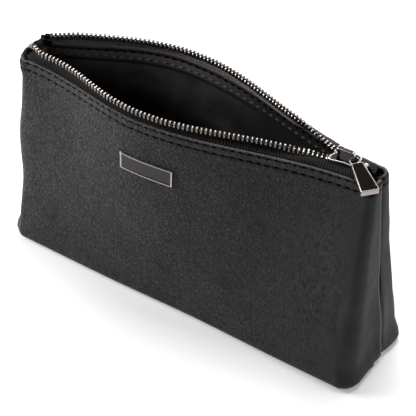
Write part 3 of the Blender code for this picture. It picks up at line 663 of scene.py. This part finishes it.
def satin_finish():
    """Woven satin: a painted highlight over its hem, painted shade under the hem's edge, deep down and to
    the right.
    """
    cloth = Finish("black_satin_lining", (0.012, 0.0115, 0.0125), 0.0, 0.42, specular=0.2, sheen=0.03)
    under_rim = cloth.mapped()[1]
    weave = cloth.node(
        "TexWave", cloth.place, wave_type="BANDS", bands_direction="DIAGONAL", Scale=900.0, Distortion=0.4)
    pulls = cloth.noise(60.0, 4.0, 0.55)
    colour = cloth.ramp(pulls, (0.35, (0.045, 0.041, 0.043)), (0.7, (0.13, 0.113, 0.12)))
    # a painted highlight on the band over the hem
    painted_hem_highlight = cloth.ramp(cloth.times(under_rim, 0.1), (0.77, 1.0), (0.85, 0.0))
    colour = cloth.mix(painted_hem_highlight, colour, (0.12, 0.102, 0.103))
    # painted shade in a dark line under the hem's edge
    colour = cloth.mix(cloth.line(under_rim, 9.9, 1.7), colour, (0.002, 0.002, 0.002))
    # painted shade that deepens down the walls and towards the right
    deep = cloth.ramp(cloth.times(under_rim, 0.02), (0.3, 0.0), (0.85, 0.9))
    rightward = cloth.maths("ADD", cloth.times(cloth.split(cloth.place)[0], 5.0), 0.5)
    shade = cloth.maths("MAXIMUM", deep, cloth.ramp(rightward, (0.12, 0.0), (0.62, 0.96)))
    cloth.set("Base Color", cloth.mix(shade, colour, (0.003, 0.003, 0.003)))
    soft = cloth.bump(pulls, 0.5, 0.0012)
    cloth.bump(weave.outputs["Fac"], 0.25, 0.0001, soft)
    return cloth.made


def lining_inset(depth):
    """How deep under the wall's outer surface the lining's back lies."""
    below = soft_step(depth, 11, 34)
    return lining_at_hem * (1 - below) + lining_below * below


def lining_lie(side, points, depth):
    """How far the satin stands off inwards: sewn rows, and pulls and folds that run down from them."""
    lie = np.full(len(points), lining_loft)
    for row in lining_rows:
        lie -= lining_channel * bell(depth, lining_drop + row, 0.5)
    loose = soft_step(depth, 12, 40) * soft_step(rim_z - depth, 2, 20)
    for i, (x, y, z) in enumerate(points):
        pull = noise.noise(Vector((x * 2.2, y * 2.2, z * 0.7)) * mm * 34 + Vector((5.5, side, 2.0)))
        fold = noise.noise(Vector((x, y, z * 1.6 + x * 0.35)) * mm * 48 + Vector((1.5, 4.0, side)))
        lie[i] += loose * (lining_pulls * max(0.0, 0.35 + pull) + lining_folds * max(0.0, 0.1 + fold))
    return lie


def lining_row(side, depth):
    """Points and normals of the lining's shown face at a depth under the rim."""
    points, normals, way = wall_row(side, 1 - depth / rim_z)
    deep = lining_inset(depth) + lining + lining_lie(side, points, depth)
    return points - normals * deep[:, None], -normals


def lining_wall(name, side):
    """One wall's lining with its half of the base, as one closed skin."""
    rows = [lining_row(side, depth)[0] for depth in lining_depths]
    for angle in np.radians((30.0, 60.0, 90.0)):
        rows.append(fold_row(side, angle, lining_below + lining)[0])
    for share, inset in ((0.5, lining_below + lining), (1.0, lining_below + lining), (1.0, lining_below)):
        rows.append(base_row(side, share, inset)[0])
    for angle in np.radians((90.0, 45.0)):
        rows.append(fold_row(side, angle, lining_below)[0])
    back = [(depth, lining_inset(depth)) for depth in lining_depths[::-6]]
    back += [(lining_drop, lining_at_hem), (lining_drop - 0.25, lining_at_hem + 0.4)]
    for depth, inset in back:
        points, normals, way = wall_row(side, 1 - depth / rim_z)
        rows.append(points - normals * inset)
    rows.append(rows[0])
    depths = [*lining_depths, *[100.0] * (len(rows) - len(lining_depths))]
    return close_up(laid_grid(name, rows, lambda row, column: (column, depths[row])), 60.0)


satin = satin_finish()
grey_thread = thread_finish("grey_bobbin_thread", (0.07, 0.066, 0.07))
for side, word in both_walls:
    dress(lining_wall(f"satin_{word}", side), satin, "bag", "lining", f"{word}_lining")
    for number, (row, thread) in enumerate(zip(lining_rows, (black_thread, grey_thread)), 1):
        points, normals = lining_row(side, lining_drop + row)
        sew(f"{word}_inner_stitching_{number}", points, normals, thread_over_lining, thread, "lining")
bpy.data.objects.remove(stitch, do_unlink=True)


# ---- Zip tapes ------------------------------------------------------------------------------
# Charcoal herringbone tape, sewn between leather and lining. It stands up along the open mouth
# and lies over flat where the teeth close. Its left ends are folded over and tucked away.
bead_offset = 1.45
bead_rise = 4.0
chain_y = 4.0
chain_z = 124.8
chain_left_x = -99.8
chain_right_x = 89.4
closing_x = 81.8
lying_from = 43.0
lying_at = 70.0
lowered_at = 76.0
split_slope = math.tan(math.radians(15.0))
lean_near_slider = {FRONT: 2.9, BACK: 2.8}
lean_at_left = {FRONT: 1.1, BACK: 0.0}
lean_at_end = {FRONT: 4.4, BACK: 0.0}
back_sag_middle = 1.1
back_sag_left = 2.1
front_fall = 4.5
front_fall_from = -97.2
front_fall_length = 6.2
tape = 0.6
tape_middle_inset = 2.85
tape_sewn_depth = 9.0
tape_left = {FRONT: -103.4, BACK: -102.2}
tape_right = 96.0
tape_foot_left = -97.5
tape_corner_run = 5.9
tape_corner_radius = 4.4
tape_end_arc = 5.6
tape_end_drop = {FRONT: 0.5, BACK: 0.3}
tape_right_drop = 3.0
tape_knee = 3.2
tape_stand = 0.9
tuck_thick = 0.9
tuck_crest_y = (-18.5, -16.5, -13.7, -10.5, -8.5, -5.5, -3.0, 0.5)
tuck_crest_z = (119.5, 121.0, 122.8, 124.0, 124.9, 124.9, 123.8, 123.4)


def rim_point(side, x, depth, inset):
    """One point of the long wall, inset under its plain surface."""
    t = 1 - depth / rim_z
    across = wall_y(side, x + 0.5, t) - wall_y(side, x - 0.5, t)
    up = (wall_y(side, x, t + 0.005) - wall_y(side, x, t - 0.005)) / (0.01 * rim_z)
    normal = Vector((-across, 1.0, -up)).normalized() * side
    return Vector((x, wall_y(side, x, t), t * rim_height(side, x))) - normal * inset


def bead_point(side, x):
    """Centre of the corded edge: over the rim along the mouth, meshed at the right."""
    near = soft_step(x, lying_from, lying_at)
    down = soft_step(x, lying_from, lowered_at)
    lean = lean_near_slider[side] * soft_step(x, -15, 45)
    lean += lean_at_left[side] * (1 - soft_step(abs(x + 70), 0, 30))
    lean += lean_at_end[side] * soft_step(-x, 89, 102)
    mouth_y = rim_point(side, x, 0.0, tape_middle_inset).y - side * lean
    meshed_y = chain_y + side * (bead_offset + max(closing_x - x, 0.0) * split_slope)
    height = (rim_height(BACK, x) + bead_rise) * (1 - down) + chain_z * down
    if side == BACK:
        height -= back_sag_middle * bell(x, -46, 26) + back_sag_left * soft_step(-x, 82, 100)
    else:
        height -= front_fall * (max(front_fall_from - x, 0.0) / front_fall_length) ** 1.7
    return Vector((x, mouth_y * (1 - near) + meshed_y * near, height))


def bead_frame(side, x):
    """Along the bead, across it towards the heads of the teeth, and out of the tape."""
    along = (bead_point(side, x + 0.4) - bead_point(side, x - 0.4)).normalized()
    flat = 0.5 * math.pi * soft_step(x, lying_from, lying_at)
    reach = Vector((0.0, side * 0.2 * math.cos(flat) - side * math.sin(flat), math.cos(flat)))
    across = (reach - along * reach.dot(along)).normalized()
    return along, across, along.cross(across)


def tape_drop(side, x):
    """How far the free edge falls at both ends of the tape."""
    share = min(max((tape_left[side] + tape_end_arc - x) / tape_end_arc, 0.0), 1.0)
    arc = tape_end_drop[side] * (1 - math.sqrt(1 - share * share))
    return arc + tape_right_drop * soft_step(x, chain_right_x + 3.2, tape_right)


def tape_line(side, x):
    """Middle line of the tape's section from its sewn foot to the corded edge."""
    foot_x = min(max(x, tape_foot_left), tape_right)
    low = rim_point(side, foot_x, tape_sewn_depth, tape_middle_inset)
    rim = rim_point(side, foot_x, 0.0, tape_middle_inset)
    if side == FRONT and x < foot_x:
        turn = min((foot_x - x) / tape_corner_run, 1.0) * math.radians(85.0)
        round_corner = Vector((-math.sin(turn), 1 - math.cos(turn), 0.0)) * tape_corner_radius
        low = low + round_corner
        rim = rim + round_corner * 1.25
    along, across, out = bead_frame(side, x)
    edge = bead_point(side, x) - across * 0.25 - Vector((0, 0, tape_drop(side, x)))
    bend = edge - across * tape_knee
    bend.z = max(bend.z, rim.z + tape_stand)
    first = [low.lerp(rim, k / 4) for k in range(4)]
    knee = [rim.lerp(bend, k / 3) for k in range(3)]
    return first + knee + [bend.lerp(edge, k / 5) for k in range(6)]


def ringed(name, rings, angle, map_of=None):
    """A closed skin through a run of rings of points."""
    rows = [[tuple(point) for point in [*ring, ring[0]]] for ring in rings]
    return close_up(laid_grid(name, rows, map_of), angle)


def zip_tape(name, side):
    """A woven strip of even thickness, with a map of its weave in millimetres."""
    rings = []
    places = np.linspace(tape_left[side], tape_right, 330)
    for x in places:
        middle = tape_line(side, x)
        offsets = []
        for i, p in enumerate(middle):
            into = (p - middle[i - 1]).normalized() if i else (middle[1] - p).normalized()
            away = (middle[i + 1] - p).normalized() if i < len(middle) - 1 else into
            offsets.append(Vector((1, 0, 0)).cross(into + away).normalized() * (tape / 2))
        face = [p + n for p, n in zip(middle, offsets)]
        rings.append(face + [p - n for p, n in zip(middle[::-1], offsets[::-1])])
    across = length_along(np.array(tape_line(side, 0.0)))
    turns = [*across, *across[::-1], across[0]]
    return ringed(name, rings, 60.0, lambda row, column: (places[row], turns[column]))


def tape_finish(name, rib_colour, shaded, foot):
    """Herringbone: slanting ribs on a black ground, with painted shade at the foot and towards the closed
    end.
    """
    weave = Finish(name, (0.03, 0.03, 0.033), 0.0, 0.7, specular=0.14, sheen=0.03)
    along, across = weave.mapped()
    slant = weave.maths("PINGPONG", weave.maths("ADD", across, 7.0), 4.0)
    rib = weave.maths("PINGPONG", weave.times(weave.maths("ADD", along, weave.times(slant, 1.3)), 1.45), 1.0)
    height = weave.maths("ADD", rib, weave.times(weave.noise(2200.0, 3.0), 0.5))
    valley = tuple(0.32 * c for c in rib_colour)
    colour = weave.ramp(height, (0.3, (0.004, 0.004, 0.005)), (0.75, valley), (1.15, rib_colour))
    # painted shade at the tape's foot, where it meets the rim
    low = weave.ramp(weave.times(across, 0.05), (foot, 1.0), (foot + 0.09, 0.0))
    # painted shade towards the closed end and the slider
    closed = weave.ramp(weave.times(along, 0.01), *shaded)
    weave.set("Base Color", weave.mix(weave.maths("MAXIMUM", low, closed), colour, (0.005, 0.005, 0.0055)))
    weave.bump(height, 0.9, 0.0004)
    return weave.made


def tucked_tape(name):
    """The tapes' left ends, folded over and tucked in along the end of the mouth as one thick strip."""
    rings = []
    for side, columns in ((FRONT, range(22, -1, -1)), (BACK, range(1, 16))):
        section = []
        for depth, inset in ((5.0, 2.5), (0.6, 2.4), (0.0, 1.1)):
            points, normals, way = wall_row(side, 1 - depth / rim_z)
            section.append((points[columns] - normals[columns] * inset, normals[columns] * tuck_thick / 2))
        crest = section[-1][0]
        crest[:, 2] = np.interp(crest[:, 1], tuck_crest_y, tuck_crest_z)
        for i in range(len(columns)):
            front = [line[i] + out[i] for line, out in section]
            rings.append(front + [line[i] - out[i] for line, out in section[::-1]])
    across = (6.0, 10.4, 13.0, 13.0, 10.4, 6.0, 6.0)
    return ringed(name, rings, 70.0, lambda row, column: (row * 0.9, across[column]))


charcoal = tape_finish("charcoal_tape", (0.029, 0.028, 0.034), ((0.1, 0.0), (0.72, 0.88)), 0.47)
# the back tape's copy of the same tape is far lighter: painted light on its inner face
painted_light_charcoal = tape_finish("painted_light_charcoal_tape", (0.3, 0.278, 0.292), ((0.3, 0.0), (0.8, 0.85)), 0.3)
dress(zip_tape("tape_front", FRONT), charcoal, "bag", "tape", "front_zip_tape")
dress(zip_tape("tape_back", BACK), painted_light_charcoal, "bag", "tape", "back_zip_tape")
dress(tucked_tape("tape_tuck"), charcoal, "bag", "tape")


# ---- Teeth ----------------------------------------------------------------------------------
# Polished gunmetal teeth, pressed one by one on the tape's corded edge. Each has two legs that
# grip the cord and a rounded head that meshes with the other row.
pitch = 2.35
tooth_half = 0.525
bead_radius = 0.75
cord_right = 89.2
cord_twist = 0.06
cord_twist_length = 1.8


def gunmetal_finish(name, colour, roughness):
    """Dark plated metal, polished, with fine scuffs."""
    metal = Finish(name, colour, 1.0, roughness)
    scuff = metal.noise(700.0, 6.0, 0.7)
    worn = tuple(min(1.0, c * 1.25) for c in colour)
    metal.set("Roughness", metal.ramp(scuff, (0.3, roughness - 0.06), (0.75, roughness + 0.16)))
    metal.set("Base Color", metal.ramp(scuff, (0.35, colour), (0.8, worn)))
    metal.bump(scuff, 0.15, 0.00005)
    return metal.made


def select_faces(piece, test):
    """Leaves just the faces selected that pass a test of their centre and normal, in edit mode."""
    bpy.ops.object.mode_set(mode="OBJECT")
    for part in (piece.data.vertices, piece.data.edges):
        part.foreach_set("select", [False] * len(part))
    for face in piece.data.polygons:
        face.select = test(face.center / mm, face.normal)
    bpy.ops.object.mode_set(mode="EDIT")
    bpy.ops.mesh.select_mode(type="FACE")


def block(name, size):
    """A block round the origin, left in edit mode with all of it selected."""
    bpy.ops.mesh.primitive_cube_add(size=1.0, location=(0, 0, 0))
    piece = bpy.context.object
    piece.name = piece.data.name = name
    bpy.ops.object.mode_set(mode="EDIT")
    bpy.ops.mesh.select_all(action="SELECT")
    bpy.ops.transform.resize(value=[length * mm for length in size], center_override=(0, 0, 0))
    return piece


def one_tooth():
    """Head up along +Z, chain along X."""
    tooth = block("tooth_pattern", (1.22, 1.5, 0.95))
    bpy.ops.transform.translate(value=(0, 0, bead_offset * mm))
    for drop, wide in ((0.45, (0.84, 1.55, 1.0)), (1.0, (0.9, 1.12, 1.0)), (1.1, (0.92, 0.86, 1.0))):
        select_faces(tooth, lambda centre, normal: normal.z < -0.9)
        bpy.ops.mesh.extrude_region_move(TRANSFORM_OT_translate={"value": (0, 0, -drop * mm)})
        bpy.ops.transform.resize(value=wide)
    bpy.ops.mesh.select_all(action="SELECT")
    bpy.ops.mesh.bevel(offset=0.16 * mm, segments=2, affect="EDGES")
    select_faces(tooth, lambda centre, normal: centre.z > 1.9 and normal.z > 0.9)
    bpy.ops.transform.resize(value=(0.55, 0.7, 1.0))
    bpy.ops.object.mode_set(mode="OBJECT")
    tooth.select_set(False)
    return tooth


def tooth_places(side):
    """Places along X of one row's teeth, the last one at the open end."""
    places = np.linspace(chain_right_x, chain_left_x, 900)
    lengths = length_along(np.array([bead_point(side, x) for x in places]))
    shift = 0.5 if side == FRONT else 1.0
    count = int((lengths[-1] - 2 * tooth_half) / pitch - shift)
    return [np.interp((k + shift) * pitch, lengths, places) for k in range(count + 1)]


def on_the_cord(side, x):
    """Matrix of what grips the cord at x: X along it, and Z towards the other row."""
    along, across, out = bead_frame(side, x)
    return frame_at(bead_point(side, x), along, across)


def round_ring(centre, first, second, radius, count):
    """Points of a circle round a centre."""
    turns = np.linspace(0, 2 * math.pi, count + 1)[:-1]
    return [centre + (first * math.cos(a) + second * math.sin(a)) * radius for a in turns]


def cord_edge(name, side):
    """The rib of twisted cord along the tape's edge, which the teeth grip."""
    rings = []
    for x in np.linspace(tape_left[side] + 0.2, cord_right, 400):
        along, across, out = bead_frame(side, x)
        centre = bead_point(side, x) - Vector((0, 0, tape_drop(side, x)))
        twist = 1.0 + cord_twist * math.sin(x / cord_twist_length * 2 * math.pi)
        rings.append(round_ring(centre, across, out, bead_radius * twist, 10))
    return ringed(name, rings, 60.0)


gunmetal = gunmetal_finish("tooth_gunmetal", (0.22, 0.195, 0.176), 0.27)
tooth = one_tooth()
for side, word in both_walls:
    teeth = set_copies(f"teeth_{word}", tooth, [on_the_cord(side, x) for x in tooth_places(side)])
    dress(teeth, gunmetal, "bag", "gunmetal", f"{word}_teeth_row")
    dress(cord_edge(f"cord_{word}", side), charcoal, "bag", "tape")
bpy.data.objects.remove(tooth, do_unlink=True)


# ---- Stops ----------------------------------------------------------------------------------
# Folded clips: one pinched on each cord past its last tooth, gunmetal on the front and black
# chrome on the back, and a wider gunmetal one across the closed chain behind the slider.
top_clip = (2.6, 2.4, 2.4)
bottom_clip = (2.6, 5.6, 2.6)
top_clip_past_tooth = 2.1
bottom_clip_past_chain = 1.6


def clip(name, size, place):
    """A folded clip with a shallow groove across its back."""
    piece = block(name, size)
    select_faces(piece, lambda centre, normal: normal.z > 0.9)
    bpy.ops.mesh.inset(thickness=0.25 * min(size) * mm, depth=0.0)
    bpy.ops.transform.translate(value=(0, 0, -0.08 * size[2] * mm))
    bpy.ops.mesh.select_all(action="SELECT")
    bpy.ops.mesh.bevel(offset=0.13 * min(size) * mm, segments=3, affect="EDGES")
    bpy.ops.object.mode_set(mode="OBJECT")
    piece.data.transform(place)
    return close_up(piece)


def moved_to(x, y, z):
    """Matrix of a move to a point."""
    return Matrix.Translation(Vector((x, y, z)) * mm)


black_chrome = gunmetal_finish("black_chrome", (0.016, 0.015, 0.015), 0.15)
for (side, word), metal in zip(both_walls, (gunmetal, black_chrome)):
    place = on_the_cord(side, tooth_places(side)[-1] - top_clip_past_tooth)
    dress(clip(f"top_clip_{word}", top_clip, place), metal, "bag", "gunmetal", f"{word}_top_stop")
place = moved_to(chain_right_x + bottom_clip_past_chain, chain_y, chain_z)
dress(clip("bottom_clip", bottom_clip, place), gunmetal, "bag", "gunmetal", "bottom_stop")


# ---- Slider ---------------------------------------------------------------------------------
# A die-cast slider: two heart-shaped plates with a raised edge, joined by a post at the wide end,
# their sides turned in to hold the teeth, and an arched bridge on top for the pull.
head_u = -7.6
tail_u = 5.3
channel = 1.65
slider_top = 2.45
half_plate = [
    (tail_u, 3.0), (4.3, 3.8), (0.0, 3.85), (-6.2, 5.35), (head_u, 5.1), (head_u, 2.9), (-6.2, 0.0)]
plate_outline = half_plate + [(u, -v) for u, v in half_plate[-2::-1]]
plate_profile = [
    (0.15, channel), (0.0, 1.8), (0.0, 2.25), (0.2, slider_top), (0.55, slider_top), (0.75, 2.15)]
rail_outline = [(4.6, 3.75), (0.0, 3.8), (-6.2, 5.4), (-7.2, 5.0), (-6.2, 4.6), (0.0, 3.15), (4.6, 3.15)]
rail_profile = [(0.12, 1.27), (0.0, 1.37), (0.0, 1.8)]
post_outline = [(-3.95, 0.0), (-6.2, 0.8), (-6.5, 0.4), (-6.5, -0.4), (-6.2, -0.8)]
post_half = channel + 0.1
crown_outline = [(-5.4, -0.5), (-6.2, 3.9), (3.3, 4.5), (4.2, -0.5)]
crown_wide = 2.2
crown_thick = 0.8
crown_edge = 0.2
crown_round = 1.3
crown_sunk = 0.3
plate_round = 0.3
rail_round = 0.12
post_round = 0.15


def bend_corners(corners, radius, steps=4):
    """The outline with its corners turned to short arcs."""
    line = []
    for i, here in enumerate(corners):
        here = Vector(here)
        start = here + (Vector(corners[i - 1]) - here).normalized() * radius
        end = here + (Vector(corners[(i + 1) % len(corners)]) - here).normalized() * radius
        for k in range(steps + 1):
            s = k / steps
            line.append(start * (1 - s) ** 2 + here * 2 * s * (1 - s) + end * s * s)
    return line


def inset_corners(corners, depth):
    """The corners of a counterclockwise outline, moved in by an even distance from each of its sides."""
    moved = []
    for i, here in enumerate(corners):
        before = (Vector(here) - Vector(corners[i - 1])).normalized()
        after = (Vector(corners[(i + 1) % len(corners)]) - Vector(here)).normalized()
        first = Vector((-before.y, before.x))
        second = Vector((-after.y, after.x))
        moved.append(Vector(here) + (first + second) * (depth / (1 + first.dot(second))))
    return moved


def cast_plate(name, corners, radius, profile):
    """A flat casting: rings of one outline, each with its own inset and height, filled at both ends."""
    rings = []
    for inset, height in profile:
        rings.append([(p.x, p.y, height) for p in bend_corners(inset_corners(corners, inset), radius)])
    return ringed(name, rings, 30.0)


def headings(line):
    """The way that a line of points runs at each of them."""
    pairs = zip([line[0], *line], [*line[1:], line[-1]])
    return [(after - before).normalized() for before, after in pairs]


def joined(name, pieces):
    """Several closed shapes set into each other, as one piece."""
    bpy.ops.object.select_all(action="DESELECT")
    for piece in pieces:
        piece.select_set(True)
    bpy.context.view_layer.objects.active = pieces[0]
    bpy.ops.object.join()
    pieces[0].select_set(False)
    pieces[0].name = pieces[0].data.name = name
    return pieces[0]


def mark_faces(piece, mark, test):
    """Marks the faces that pass a test of their centre and normal for another material."""
    for face in piece.data.polygons:
        if test(face.center / mm, face.normal):
            face.material_index = mark


def crown():
    """The bridge: a flat bar with broken edges, bent over in one arch from head to tail."""
    line = bend_corners(crown_outline, crown_round, 6)
    line = [line[3], *line[7:21], line[24]]
    half, thick = crown_wide / 2, crown_thick / 2
    side, face = half - crown_edge, thick - crown_edge
    section = [(thick, -side), (thick, side), (face, half), (-face, half),
               (-thick, side), (-thick, -side), (-face, -half), (face, -half)]
    rings = []
    for here, ahead in zip(line, headings(line)):
        foot = here.y + slider_top - crown_sunk
        rings.append([(here.x - ahead.y * out, y, foot + ahead.x * out) for out, y in section])
    return ringed("crown", rings, 30.0)


def shell_of_slider(up):
    """One heart-shaped plate with a raised rim, and the rail along each of its sides."""
    edge, lip = [[(inset, up * z) for inset, z in profile] for profile in (plate_profile, rail_profile)]
    plate = cast_plate("plate", plate_outline[::-1], plate_round, edge)
    other_outline = [(u, -v) for u, v in rail_outline[::-1]]
    rails = [cast_plate("rail", outline, rail_round, lip) for outline in (rail_outline, other_outline)]
    return [plate, *rails]


def on_the_plates_rim(centre, normal):
    """The raised edge of each plate, where a highlight is painted."""
    return abs(normal.z) > 0.3 and 2.25 < abs(centre.z) < 2.5


def on_the_crowns_edges(centre, normal):
    """The bridge's broken edges, and its right shoulder, where a highlight is painted."""
    right_shoulder = centre.x > 2.2 and normal.x > 0.1 and centre.z > slider_top + 3
    return centre.z > slider_top + 0.3 and (0.3 < abs(normal.y) < 0.9 or right_shoulder)


post = cast_plate("post", post_outline, post_round, [(0.0, -post_half), (0.0, post_half)])
slider = joined("slider", shell_of_slider(1) + shell_of_slider(-1) + [post, crown()])
# the plates' rims and the bridge's edges get a pale metal: a painted highlight
mark_faces(slider, 1, on_the_plates_rim)
mark_faces(slider, 1, on_the_crowns_edges)
slider.data.transform(moved_to(closing_x, chain_y, chain_z))
painted_highlight_metal = gunmetal_finish("painted_highlight_gunmetal", (0.55, 0.5, 0.47), 0.34)
dress(slider, (black_chrome, painted_highlight_metal), "slider", "gunmetal", "slider_body")


# ---- Pull -----------------------------------------------------------------------------------
# A heavy flat pull that widens to its tip, cast with a loop that runs round the bridge. Both faces
# have a plain sunk field in black enamel inside a polished border.
pull_length = 26.0
pull_half_head = 3.05
pull_half_tip = 4.65
pull_round = 0.7
pull_profile = [(0.56, 1.0), (0.42, 1.5), (0.18, 1.5), (0.0, 1.3)]
shoulder = 4.9
loop_end = 6.1
loop_half_inside = 2.35
loop_half_thick = 0.45
loop_round = 1.3
loop_rise = 0.3
loop_right = 2.9


def enamel_finish():
    """Black enamel with a faint ripple."""
    enamel = Finish("black_enamel", (0.0025, 0.0022, 0.0022), 0.0, 0.3, specular=0.03)
    ripple = enamel.noise(500.0, 3.0)
    enamel.set("Roughness", enamel.ramp(ripple, (0.3, 0.24), (0.8, 0.42)))
    enamel.bump(ripple, 0.2, 0.00008)
    return enamel.made


def on_the_border(centre, normal):
    """The loop, and the pull's border and tip."""
    return centre.x < 4.7 or normal.x > 0.9 or abs(normal.z) > 0.3 and abs(centre.z) > 1.35


def on_the_sunk_field(centre, normal):
    """The flat bottom of the field in each face."""
    return abs(normal.z) > 0.98 and 0.9 < abs(centre.z) < 1.1


pull_outline = [
    (shoulder, -pull_half_head), (pull_length, -pull_half_tip),
    (pull_length, pull_half_tip), (shoulder, pull_half_head)]
both_faces = [(inset, -z) for inset, z in pull_profile] + pull_profile[::-1]
body = cast_plate("pull_body", pull_outline, pull_round, both_faces)
loop_outline = [
    (loop_end, -loop_half_inside), (0.0, -loop_half_inside),
    (0.0, loop_half_inside), (loop_end, loop_half_inside)]
arms = bend_corners(loop_outline, loop_round, 6)[3:-3]
rings = []
for here, ahead in zip(arms, headings(arms)):
    aside = Vector((-ahead.y, ahead.x, 0))
    rings.append(round_ring(here.to_3d(), aside, Vector((0, 0, 1)), loop_half_thick, 12))
pull = joined("pull", [body, ringed("loop", rings, 50.0)])
mark_faces(pull, 1, on_the_border)
mark_faces(pull, 2, on_the_sunk_field)
polished = gunmetal_finish("polished_gunmetal", (0.3, 0.275, 0.26), 0.2)
brushed = gunmetal_finish("brushed_gunmetal", (0.36, 0.31, 0.285), 0.34)
dress(pull, (polished, brushed, enamel_finish()), "pull", "gunmetal", "pull_tab")
pull_turn = Matrix.Rotation(math.radians(-42.0), 4, "Z") @ Matrix.Rotation(math.radians(-1.5), 4, "Y")
pull_z = chain_z + slider_top + loop_half_thick + loop_rise
pull.data.transform(moved_to(closing_x + loop_right, chain_y, pull_z) @ pull_turn)


# ---- Front plate ----------------------------------------------------------------------------
# A small blank plate of the same metal, gently bowed to the hide, with a polished border round a
# satin field.
plate_x = -15.5
plate_z = 96.0
plate_wide = 31.0
plate_high = 10.5
plate_back = 0.3
plate_thick = 1.1
plate_field_sunk = 0.4
plate_border = 1.0
plate_steps = np.array([0.0, 0.03, 0.08, 0.16, 0.35, 0.8, 0.88, 0.97, 1.06, 1.15, 2.0, 3.5])


def plate_rise(across, along):
    """Height of the plate's face over the hide: rounded outer edge, border, sunk field."""
    edge = min(plate_wide / 2 - abs(across), plate_high / 2 - abs(along))
    rise = plate_thick * math.sqrt(max(0.0, 1 - (1 - min(edge / 0.35, 1.0)) ** 2))
    return plate_back + rise - plate_field_sunk * soft_step(edge, 0.8, 1.15)


def in_from_both_edges(size, steps):
    """Places across a size: the same steps in from both of its edges, and the middle."""
    return np.concatenate([-size / 2 + steps, [0.0], (size / 2 - steps)[::-1]])


def on_the_field(centre, normal):
    """Inside the plate's polished border."""
    across, along = abs(centre.x - plate_x), abs(centre.z - plate_z)
    return across < plate_wide / 2 - plate_border and along < plate_high / 2 - plate_border


over_the_plate = in_from_both_edges(plate_wide, np.append(plate_steps, np.linspace(5.0, 14.0, 8)))
rows = []
for along in in_from_both_edges(plate_high, plate_steps):
    depth = rim_z - plate_z - along
    rows.append([rim_point(FRONT, plate_x + across, depth, -plate_rise(across, along))
                 for across in over_the_plate])
plate = laid_grid("name_plate_blank", rows)
bpy.ops.object.mode_set(mode="EDIT")
pick_open_edges()
bpy.ops.mesh.extrude_region_move(TRANSFORM_OT_translate={"value": (0, plate_back * mm, 0)})
bpy.ops.object.mode_set(mode="OBJECT")
close_up(plate, 50.0)
mark_faces(plate, 1, on_the_field)
field_metal = gunmetal_finish("satin_gunmetal", (0.035, 0.033, 0.033), 0.36)
dress(plate, (polished, field_metal), "bag", "gunmetal", "front_plate")


# ---- Studio ---------------------------------------------------------------------------------
# A pale floor in an even white room, a large soft lamp overhead and a little behind, weaker ones
# low on the left and behind on the right, and a small one behind left for the glint on the metal.
glow_share = 0.24


def pale_floor():
    """White to the eye and in reflections, a plain pale grey to the light, and most of its shadow kept."""
    ground = Finish("pale_floor", (0.55, 0.55, 0.55), 0.0, 0.9, specular=0.0)
    rays = ground.node("LightPath").outputs
    seen = ground.maths("MAXIMUM", rays["Is Camera Ray"], rays["Is Glossy Ray"])
    seen = ground.maths("MAXIMUM", seen, rays["Is Transmission Ray"])
    ground.set("Base Color", ground.mix(seen, (0.35, 0.35, 0.35), (0.95, 0.95, 0.95)))
    glow = ground.node("Emission", (1.0, 1.0, 1.0), 1.0).outputs[0]
    shown = ground.node("MixShader", ground.times(seen, glow_share), ground.shader.outputs[0], glow)
    ground.feed(ground.tree.nodes["Material Output"].inputs["Surface"], shown.outputs[0])
    return ground.made


bpy.ops.mesh.primitive_circle_add(vertices=96, radius=6.0, fill_type="NGON", location=(0, 0, 0))
floor = bpy.context.object
floor.name = "floor"
floor.data.materials.append(pale_floor())
floor.select_set(False)


def soft_lamp(name, place, size, power):
    """A square area lamp that faces the bag."""
    bpy.ops.object.light_add(type="AREA", location=place)
    lamp = bpy.context.object
    lamp.name = name
    lamp.data.shape = "SQUARE"
    lamp.data.size = size
    lamp.data.energy = power
    lamp.rotation_euler = (Vector(place) - Vector((0, 0, 0.06))).to_track_quat("Z", "Y").to_euler()
    lamp.select_set(False)


soft_lamp("overhead", (-0.05, 0.37, 1.3), 0.6, 18.5)
soft_lamp("left", (-0.52, -0.22, 0.34), 0.3, 4.9)
soft_lamp("back_right", (0.75, 0.4, 0.34), 0.4, 1.6)
soft_lamp("glint", (-0.48, 0.72, 0.9), 0.3, 1.5)
world = bpy.context.scene.world or bpy.data.worlds.new("room")
bpy.context.scene.world = world
world.use_nodes = True
room = world.node_tree.nodes["Background"]
room.inputs["Color"].default_value = (1.0, 1.0, 1.0, 1.0)
room.inputs["Strength"].default_value = 0.16
bpy.context.scene.view_settings.view_transform = "Standard"
